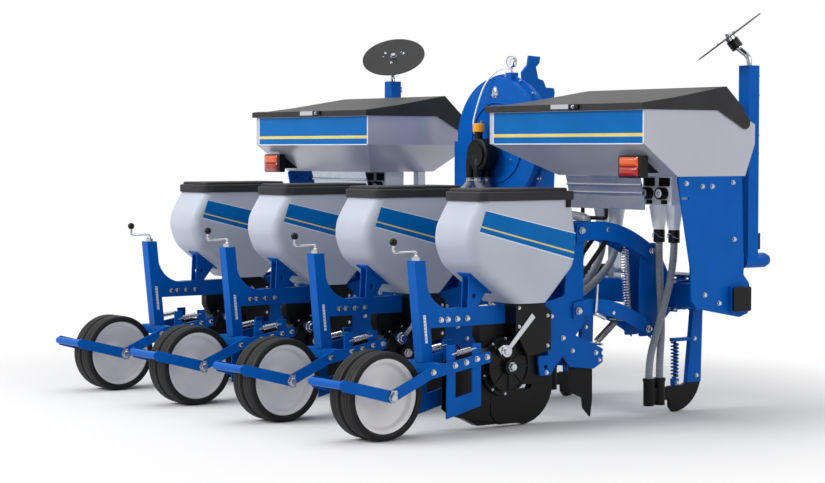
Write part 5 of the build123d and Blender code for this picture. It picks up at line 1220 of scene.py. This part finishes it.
@dataclass
class FertiliserLine:
    """Dosers, funnels, collars, hoses, springs and openers of the fertiliser line."""

    rows: list[float] = field(default_factory=row_places)
    pitch: float = 96.0
    line_y: float = 500.0
    # Hoses: radius, pitch and depth of the rings
    hose_radius: float = 18.0
    ring_pitch: float = 8.0
    ring_depth: float = 2.4
    offset: float = 75.0
    # Hoses by collar, inner and outer: foot along, then bend along and outwards from the shoe
    feet: tuple = ((527.0, 520.0, 22.0), (461.0, 470.0, 46.0))
    # Dosers: place of the inner one, distance of the outer one's middle from the end of the node
    inner_doser: float = 892.0
    doser_reach: float = 92.0
    # Knobs on the dosers: along from the line, up, and where they meet the boxes
    knob_y: float = -96.0
    knob_z: float = 1002.0
    knob_root: float = -60.5
    boot_z: float = 162.0
    # Release spring: along, foot and head, then coil radius, turns and wire radius, and the rod's heights
    spring_y: float = 622.0
    spring_span: tuple = (158.0, 318.0)
    spring_size: tuple = (16.0, 10, 4.0)
    rod_z: tuple = (150.0, 230.0, 321.0)
    # Fork under it: half width, heights, and the foot of the collar
    fork_half: float = 14.0
    fork_z: tuple = (120.0, 148.0)
    collar_z: float = 146.0
    # Tray: inner and outer end, ends of the loop handle
    tray_start: float = 800.0
    tray_end: float = 1300.0
    handle_span: tuple = (890.0, 1050.0)
    # Solids of the line below the dosers: node, finish, eased edge
    solids: tuple = (
        ("fert_legs", BLUE_PAINT, 2.0), ("fert_openers", BLACK_PAINT, 1.5),
        ("fert_funnels", FUNNEL_PLASTIC, 1.5), ("fert_collars", BLACK_PLASTIC, 3.0))

    def build(self) -> None:
        """Dresses the line from the dosers down."""
        boxes = eased_copy("fert_dosers", FUNNEL_PLASTIC, 4.0)
        low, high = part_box("fert_dosers")
        knob_root = mm((0, self.line_y + self.knob_root, 0))[1]
        paint_where(boxes, BLACK_PLASTIC, tuple(low), (high.x, knob_root, high.z))
        dress(self.solids)
        publish("fert_hoses_dressed", self.hoses(), "frame", ("fert_hoses",))
        publish("fert_springs_dressed", at_each(self.spring, self.shoes()), "frame", ("fert_springs",))
        fittings = at_each(self.outlet_fittings, self.outlets()) + at_each(self.shoe_fittings, self.shoes())
        publish("fert_fittings", fittings, "frame")
        publish("fert_trays", [patch for side in Side for patch in self.tray(side)], "frame")

    def shoes(self) -> list[float]:
        """Places of the shoes across the machine."""
        return [x + math.copysign(self.offset, x) for x in self.rows]

    def dosers(self) -> list[float]:
        """Places of the dosers across the machine."""
        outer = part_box("fert_dosers")[1].x * 1000 - self.doser_reach
        return [-outer, -self.inner_doser, self.inner_doser, outer]

    def outlets(self) -> list[float]:
        """Places of the funnels across the machine, two to a doser."""
        return [doser + place * self.pitch / 2 for doser in self.dosers() for place in (-1, 1)]

    def hoses(self) -> list[Patch]:
        """Two hoses to each shoe."""
        patches = []
        for doser, shoe in zip(self.dosers(), self.shoes()):
            side = math.copysign(1, shoe)
            for place in (-1, 1):
                foot, bend, out = self.feet[0 if place * side < 0 else 1]
                top = doser + place * self.pitch / 2
                route = [(top, self.line_y, 780), (top, self.line_y, 660), (shoe + side * out, bend, 390),
                         (shoe, foot, 242), (shoe, foot, self.boot_z)]
                patches.append(corrugated(smooth_route(route), self.hose_radius, self.ring_pitch,
                                          self.ring_depth, HOSE_PVC))
        return patches

    def spring(self, x: float) -> list[Patch]:
        """Blue release spring on its rod over the fork on the shoe."""
        y, half = self.spring_y, self.fork_half
        foot, head = ((x, y, z) for z in self.spring_span)
        collar = [(0, 6), (20, 6), (20, 0), (0, 0)]
        return [helix(foot, head, *self.spring_size, BLUE_PAINT),
                tube(mm([(x, y, z) for z in self.rod_z]), 0.007, BLACK_PAINT, 14),
                box_patch((x - half, x + half), (y - half, y + half), self.fork_z, BLUE_PAINT),
                turned(lathe(collar, BLUE_PAINT, 28), (0, 0, 1), mm((x, y, self.collar_z)))]

    def outlet_fittings(self, x: float) -> list[Patch]:
        """Knob rim and screw, latches, funnel fins and wire clip of one outlet."""
        y = self.line_y
        knob = (x, y + self.knob_y, self.knob_z)
        rim = [(20, 2.5), (26.5, 2.5), (28, 0), (28, -10), (26.2, -12)]
        patches = [turned(lathe(rim, BLACK_PLASTIC, 24), (0, -1, 0), mm(knob)),
                   bolts([knob], (0, -1, 0), 12, Head.DOME),
                   box_patch((x - 17, x + 17), (y - 66, y - 60), (954, 972), BLACK_PLASTIC),
                   box_patch((x - 34, x + 34), (y - 63, y - 60), (1034, 1072), BLACK_PLASTIC)]
        for angle in (-2.4, -0.75):
            across = np.array([math.cos(angle), math.sin(angle)])
            fin = [[(*(np.array([x, y]) + across * reach), z) for z, reach in ((846, near), (944, far))]
                   for near, far in ((24, 41), (29, 46))]
            patches.append(grid(mm(fin), FUNNEL_PLASTIC))
        clip = rounded([(x - 27, y - 4, 800), (x - 22, y - 22, 806), (x - 8, y - 30, 822),
                        (x + 8, y - 30, 822), (x + 22, y - 22, 806), (x + 27, y - 4, 800)], 5)
        return [*patches, tube(mm(clip), 0.0015, ZINC, 8)]

    def shoe_fittings(self, shoe: float) -> list[Patch]:
        """Boot rims and fork bolts of one shoe."""
        rim = [(19, 0), (27, 0), (28, -3), (28, -13), (25.2, -16)]
        boots = [turned(lathe(rim, BLACK_PLASTIC, 32), (0, 0, 1), mm((shoe, foot, self.boot_z)))
                 for foot, *_ in self.feet]
        heads = ((self.fork_half, self.spring_y, 134), (13, 747, 160), (13, 733, 330))
        return boots + [bolts([(shoe + sign * out, y, z) for out, y, z in heads], (sign, 0, 0), 14)
                        for sign in (-1, 1)]

    def tray(self, side: Side) -> list[Patch]:
        """Bright sheet from the rail up to the hopper's bottom with folded ribs and a hanging loop handle.

        Args:
            side: Side of the machine.

        Returns:
            Sheet, ribs and handle.
        """
        low, high = sorted((side.value * self.tray_start, side.value * self.tray_end))
        outline = [(329, 990), (331, 990), (325, 1030), (309.5, 1079.5), (307.5, 1079.5), (323, 1030)]
        patches = [slab_patch(outline, low, high, GALVANISED)]
        for y, z in ((325, 1004), (318, 1040)):
            rib = [(x, y, z) for x in (low, (low + high) / 2, high)]
            patches.append(tube(mm(rib), 0.006, GALVANISED, 12))
        x0, x1 = sorted(side.value * end for end in self.handle_span)
        loop = rounded([(x0, 334, 931), (x0, 334, 886), (x1, 334, 886), (x1, 334, 931)], 16, 6)
        return [*patches, tube(mm(loop), 0.009, BLACK_PLASTIC, 14)]


@dataclass
class Frame:
    """Toolbar, plates, hitch and shafts."""

    rows: list[float] = field(default_factory=row_places)
    plate_x: float = 1540.0
    # Link pins begin here, outside the hitch plates, in metres
    pin_root: float = 0.4215
    # Faces of the toolbar's clamps, front and rear, and the heights of their nuts
    clamp_y: tuple = (739.0, 605.0)
    clamp_z: tuple = (473.0, 597.0)
    # Half distance of a clamp's nuts on the rows and on the shoes
    clamp_half: tuple = (20.0, 17.0)
    carrier_x: tuple = (27.0, 41.0)
    # Bolts of the hose carrier, a side plate and the mast: along, up
    carrier_bolts: tuple = ((800, 1110), (800, 1160))
    plate_bolts: tuple = ((355, 1050), (640, 1052), (452, 1036), (512, 1036), (650, 800), (470, 560),
                          (560, 520))
    mast_bolts: tuple = ((760, 500), (760, 570), (800, 540))
    mast_x: float = 55.0
    # Solids of the frame: node, finish, eased edge
    solids: tuple = (
        ("toolbar", BLUE_PAINT, 5.0), ("toolbar_caps", BLACK_PLASTIC, 3.0), ("side_plates", BLUE_PAINT, 1.5),
        ("hopper_legs", GALVANISED, 2.0), ("hitch_mast", BLUE_PAINT, 2.5),
        ("shaft_bearings", BLACK_PLASTIC, 2.0), ("drive_shaft", ZINC, 1.0),
        ("marker_brackets", BLUE_PAINT, 2.0), ("lamp_brackets", BLACK_PAINT, 1.5))

    def build(self) -> None:
        """Dresses the frame solids and adds their fasteners."""
        dress(self.solids)
        hitch = eased_copy("lower_hitches", BLUE_PAINT, 2.0)
        low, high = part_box("lower_hitches")
        for side in Side:
            ends = sorted((side.value * self.pin_root, side.value * high.x))
            paint_where(hitch, ZINC, (ends[0], low.y, low.z), (ends[1], high.y, high.z))
        publish("frame_fasteners", self.fasteners(), "frame")
        publish("hose_carrier", self.carrier(), "frame")

    def carrier(self) -> list[Patch]:
        """Blue upright on the mast that holds the tractor hoses, with its eye."""
        rear = [(770, 1080), (756, 1250), (691, 1477), (688, 1498), (686, 1518), (681, 1550), (678, 1585),
                (700, 1608), (716, 1624), (724, 1669)]
        front = [(830, 1080), (845, 1250), (893, 1487), (885, 1509), (834, 1511), (817, 1546), (783, 1555),
                 (768, 1613), (791, 1633), (795, 1665)]
        heads = [(self.carrier_x[0], *place) for place in self.carrier_bolts]
        return [strip_patch(rear, front, *self.carrier_x, BLUE_PAINT), bolts(heads, (-1, 0, 0), 19)]

    def fasteners(self) -> list[Patch]:
        """Nuts of the toolbar clamps and the bolts of the side plates and the mast."""
        lines = self.rows, FertiliserLine(self.rows).shoes()
        clamps = [(x + place, z) for line, half in zip(lines, self.clamp_half) for x in line
                  for place in (-half, half) for z in self.clamp_z]
        patches = [bolts([(x, y, z) for x, z in clamps], (0, facing, 0), 15)
                   for y, facing in zip(self.clamp_y, (1, -1))]
        for side in Side:
            sign = side.value
            for x, places, width in ((self.plate_x, self.plate_bolts, 17),
                                     (self.mast_x, self.mast_bolts, 24)):
                patches.append(bolts([(sign * x, *place) for place in places], (sign, 0, 0), width))
        return patches


@dataclass
class Marker:
    """Row marker of one side: folding post, bright shank and disc."""

    side: Side
    post_x: float = 1376.0
    post_y: float = 910.0
    lean: float = 78.0
    disc_y: float = 858.0
    disc_z: float = 1715.0
    normal: tuple = (-0.39, -0.46, 0.795)
    shank_z: float = 1582.0
    # Rubber stop before the post: half width, along from the post, up
    stop_half: float = 18.0
    stop_y: tuple = (35.0, 75.0)
    stop_z: tuple = (738.0, 817.0)
    # Bolts of the post's lugs: out from its middle, along from it, heights
    lug_x: float = 8.0
    lug_y: float = 48.0
    lug_z: tuple = (1181.0, 1264.0, 1447.0, 1534.0)
    disc_bolts: float = 60.0

    def build(self) -> None:
        """Dresses arm and disc and adds their fasteners."""
        word, sign = self.side.word, self.side.value
        arm = eased_copy(f"marker_arm_{word}", BLUE_PAINT, 2.5)
        low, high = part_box(f"marker_arm_{word}")
        paint_where(arm, CHROME, (low.x, low.y, self.shank_z / 1000), tuple(high))
        post = sign * self.post_x
        stop = [mm((post + face * self.stop_half, self.post_y + y, z))
                for face, y, z in zip((-1, 1), self.stop_y, self.stop_z)]
        paint_where(arm, RUBBER, *stop)
        hub = np.array([sign * (self.post_x - self.lean), self.disc_y, self.disc_z])
        normal = np.array([sign * self.normal[0], *self.normal[1:]])
        normal /= np.linalg.norm(normal)
        box = [(0, -68), (27, -68), (29, -64), (29, -24), (27, -20), (12.2, -20)]
        patches = [turned(lathe(box, BLACK_PLASTIC, 8), normal, mm(hub))]
        patches += [bolts([(post + face * self.lug_x, self.post_y + self.lug_y, z) for z in self.lug_z],
                          (face, 0, 0), 13) for face in (-1, 1)]
        publish(f"marker_fittings_{word}", patches, f"marker_arm_{word}")
        eased_copy(f"marker_disc_{word}", DISC_STEEL, 0.8)
        places = hub + even_ring(3, self.disc_bolts, 0.5) @ toward(normal)[:2]
        publish(f"marker_disc_bolts_{word}", [bolts(places, normal, 11, Head.DOME), bolts([hub], normal, 26)],
                f"marker_disc_{word}")


@dataclass
class TailLamp:
    """Tail lamp of one side: black case with a red and an amber lens."""

    side: Side
    half: float = 75.0
    depth: float = 50.0
    # Face of the case and edge of the lenses, counted from the lamp's rear
    face_y: float = 14.0
    lens_y: float = 13.5
    # Lenses: start from the lamp's middle, length, margin above and below, half gap between them
    lens_start: float = -68.0
    lens_length: float = 118.0
    margin: float = 7.0
    half_gap: float = 1.0
    # Bulge of a lens, height and number of its ribs
    bulge: float = 9.0
    rib_height: float = 0.9
    ribs: int = 11

    def patches(self) -> list[Patch]:
        """Case and the two ribbed lenses, which bulge by b (1 - v^4) (1 - (2u - 1)^6)."""
        low, high = (np.array(corner) * 1000 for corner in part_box("tail_lamps"))
        edge = high[0] if self.side is Side.RIGHT else -high[0]
        x = edge - self.side.value * self.half
        rear, z0, z1 = low[1] - LINE_SHIFT * 1000, low[2], high[2]
        parts = [box_patch((x - self.half, x + self.half), (rear + self.face_y, rear + self.depth), (z0, z1),
                           BLACK_PLASTIC, 6.0)]
        middle = (z0 + z1) / 2
        for finish, foot, head in ((LENS_RED, z0 + self.margin, middle - self.half_gap),
                                   (LENS_AMBER, middle + self.half_gap, z1 - self.margin)):
            u, v = np.linspace(0, 1, 45)[:, None], np.linspace(-1, 1, 15)[None, :]
            width = x + self.lens_start + u * self.lens_length + 0 * v
            rise = (foot + head) / 2 + v * (head - foot) / 2 + 0 * u
            ribs = self.rib_height * np.abs(np.sin(self.ribs * np.pi * u))
            bulge = self.bulge * (1 - v ** 4) * (1 - (2 * u - 1) ** 6) + ribs
            parts.append(grid(mm(np.stack([width, rear + self.lens_y - bulge, rise], -1)), finish))
        return parts


@dataclass
class Studio:
    """Pale floor, soft lights and the camera at the photograph's angle."""

    # Camera: place in metres, turn about Z and tilt in radians, focal length and width in pixels, sensor in
    # millimetres, farthest view in metres
    eye: tuple = (7.968, -5.8035, 1.199)
    yaw: float = 0.929886
    pitch: float = 0.044992
    focal_px: float = 2049.7
    frame_px: float = 825.0
    sensor_mm: float = 36.0
    far: float = 200.0
    # Painted shade pool on the floor: lit matt grey round the machine that fades to glowing white farther
    # out; its half lengths, and the shares of them where it begins and ends its fade
    pool: tuple = (2.7, 2.4)
    fade_span: tuple = (0.7, 1.25)
    floor_reach: float = 30.0
    floor_colour: str = "#CFCFD0"
    # Surround: lift of its bright side, how far a direction faces it at the two levels, and the levels
    bright_lift: float = 0.15
    facing_span: tuple = (-0.5, 0.55)
    level_span: tuple = (0.5, 1.0)
    # Panels: name, place, aim, size, power
    panels: tuple = (
        ("key_panel", (-2.0, -7.0, 5.0), (0, 0, 0.7), 4.0, 520.0),
        ("side_panel", (8.0, 1.0, 4.0), (0, 0, 0.7), 4.0, 160.0),
        ("top_panel", (0.0, 0.0, 7.0), (0, 0, 0), 5.0, 160.0))

    def build(self) -> None:
        """Makes floor, lights and camera."""
        self.floor()
        self.lights()
        self.camera()

    def floor(self) -> None:
        """Flat floor: lit matt pale grey under the machine, fading with the distance to glowing white like
        the surround; the grey round the machine is partly painted shade, and real shadows fall on it.
        """
        reach = np.linspace(-self.floor_reach, self.floor_reach, 13)
        points = np.stack(np.meshgrid(reach, reach, [0.0], indexing="ij"), -1)[:, :, 0]
        mesh = bpy.data.meshes.new("studio_floor")
        patch = grid(points, VINYL_WHITE)
        mesh.from_pydata(patch.points, [], patch.quads)
        floor = bpy.data.objects.new("studio_floor", mesh)
        material = bpy.data.materials.new("matt_white_floor")
        material.use_nodes = True
        tree = material.node_tree
        tree.nodes.clear()
        place = add_node(tree, "TexCoord").outputs["Object"]
        scale = (1 / self.pool[0], 1 / self.pool[1], 0.0)
        spread = add_node(tree, "Mapping", {"Vector": place}, {"Scale": scale})
        distance = add_node(tree, "VectorMath", {"Vector": spread.outputs[0]}, operation="LENGTH")
        # Painted shade: towards the machine the floor turns from glowing white to lit matt grey
        fade = add_node(tree, "MapRange", {"Value": distance.outputs["Value"]},
                        {"From Min": self.fade_span[0], "From Max": self.fade_span[1]},
                        interpolation_type="SMOOTHSTEP")
        matt = add_node(tree, "BsdfDiffuse", values={"Color": linear(self.floor_colour)})
        glow = add_node(tree, "Emission", values={"Strength": 1.0})
        both = add_node(tree, "MixShader", {0: fade.outputs[0], 1: matt.outputs[0], 2: glow.outputs[0]})
        add_node(tree, "OutputMaterial", {"Surface": both.outputs[0]})
        mesh.materials.append(material)
        bpy.context.scene.collection.objects.link(floor)

    def lights(self) -> None:
        """Surround that is white ahead and greyer behind the camera's place, with large soft panels."""
        world = bpy.data.worlds.new("white_surround")
        world.use_nodes = True
        tree = world.node_tree
        ahead = (-math.sin(self.yaw), math.cos(self.yaw), self.bright_lift)
        (least, most), (dim, bright) = self.facing_span, self.level_span
        way = add_node(tree, "VectorMath", {"Vector": add_node(tree, "TexCoord").outputs["Generated"]},
                       {1: ahead}, operation="DOT_PRODUCT")
        level = add_node(tree, "MapRange", {"Value": way.outputs["Value"]},
                         {"From Min": least, "From Max": most, "To Min": dim, "To Max": bright})
        tree.links.new(level.outputs[0], tree.nodes["Background"].inputs["Strength"])
        tree.nodes["Background"].inputs["Color"].default_value = (1.0, 1.0, 1.0, 1.0)
        bpy.context.scene.world = world
        for name, spot, aim, size, power in self.panels:
            lamp = bpy.data.lights.new(name, "AREA")
            lamp.size, lamp.energy = size, power
            holder = bpy.data.objects.new(name, lamp)
            holder.location = spot
            holder.rotation_mode = "QUATERNION"
            direction = np.subtract(aim, spot)
            holder.rotation_quaternion = Vector(direction).to_track_quat("-Z", "Y")
            bpy.context.scene.collection.objects.link(holder)

    def camera(self) -> None:
        """Camera fitted to the photograph's four wheels."""
        lens = bpy.data.cameras.new("photo_camera")
        lens.sensor_width = self.sensor_mm
        lens.lens = lens.sensor_width * self.focal_px / self.frame_px
        lens.clip_end = self.far
        holder = bpy.data.objects.new("photo_camera", lens)
        holder.location = self.eye
        holder.rotation_euler = (math.pi / 2 - self.pitch, 0.0, self.yaw)
        bpy.context.scene.collection.objects.link(holder)
        bpy.context.scene.camera = holder


def main() -> None:
    """Builds every sub-assembly in order."""
    logging.basicConfig(level=logging.INFO, format="%(name)s: %(message)s")
    bpy.context.scene.view_settings.view_transform = "Standard"
    for number in range(1, ROW_COUNT + 1):
        PressWheel(number).build()
        SeedHopper(number).build()
    for side in Side:
        FertiliserHopper(side).build()
    RowUnits().build()
    VacuumSystem().build()
    FertiliserLine().build()
    Frame().build()
    for side in Side:
        Marker(side).build()
    publish("tail_lamps_dressed", [patch for side in Side for patch in TailLamp(side).patches()], "frame",
            ("tail_lamps",))
    Studio().build()


if __name__ == "__main__":
    main()
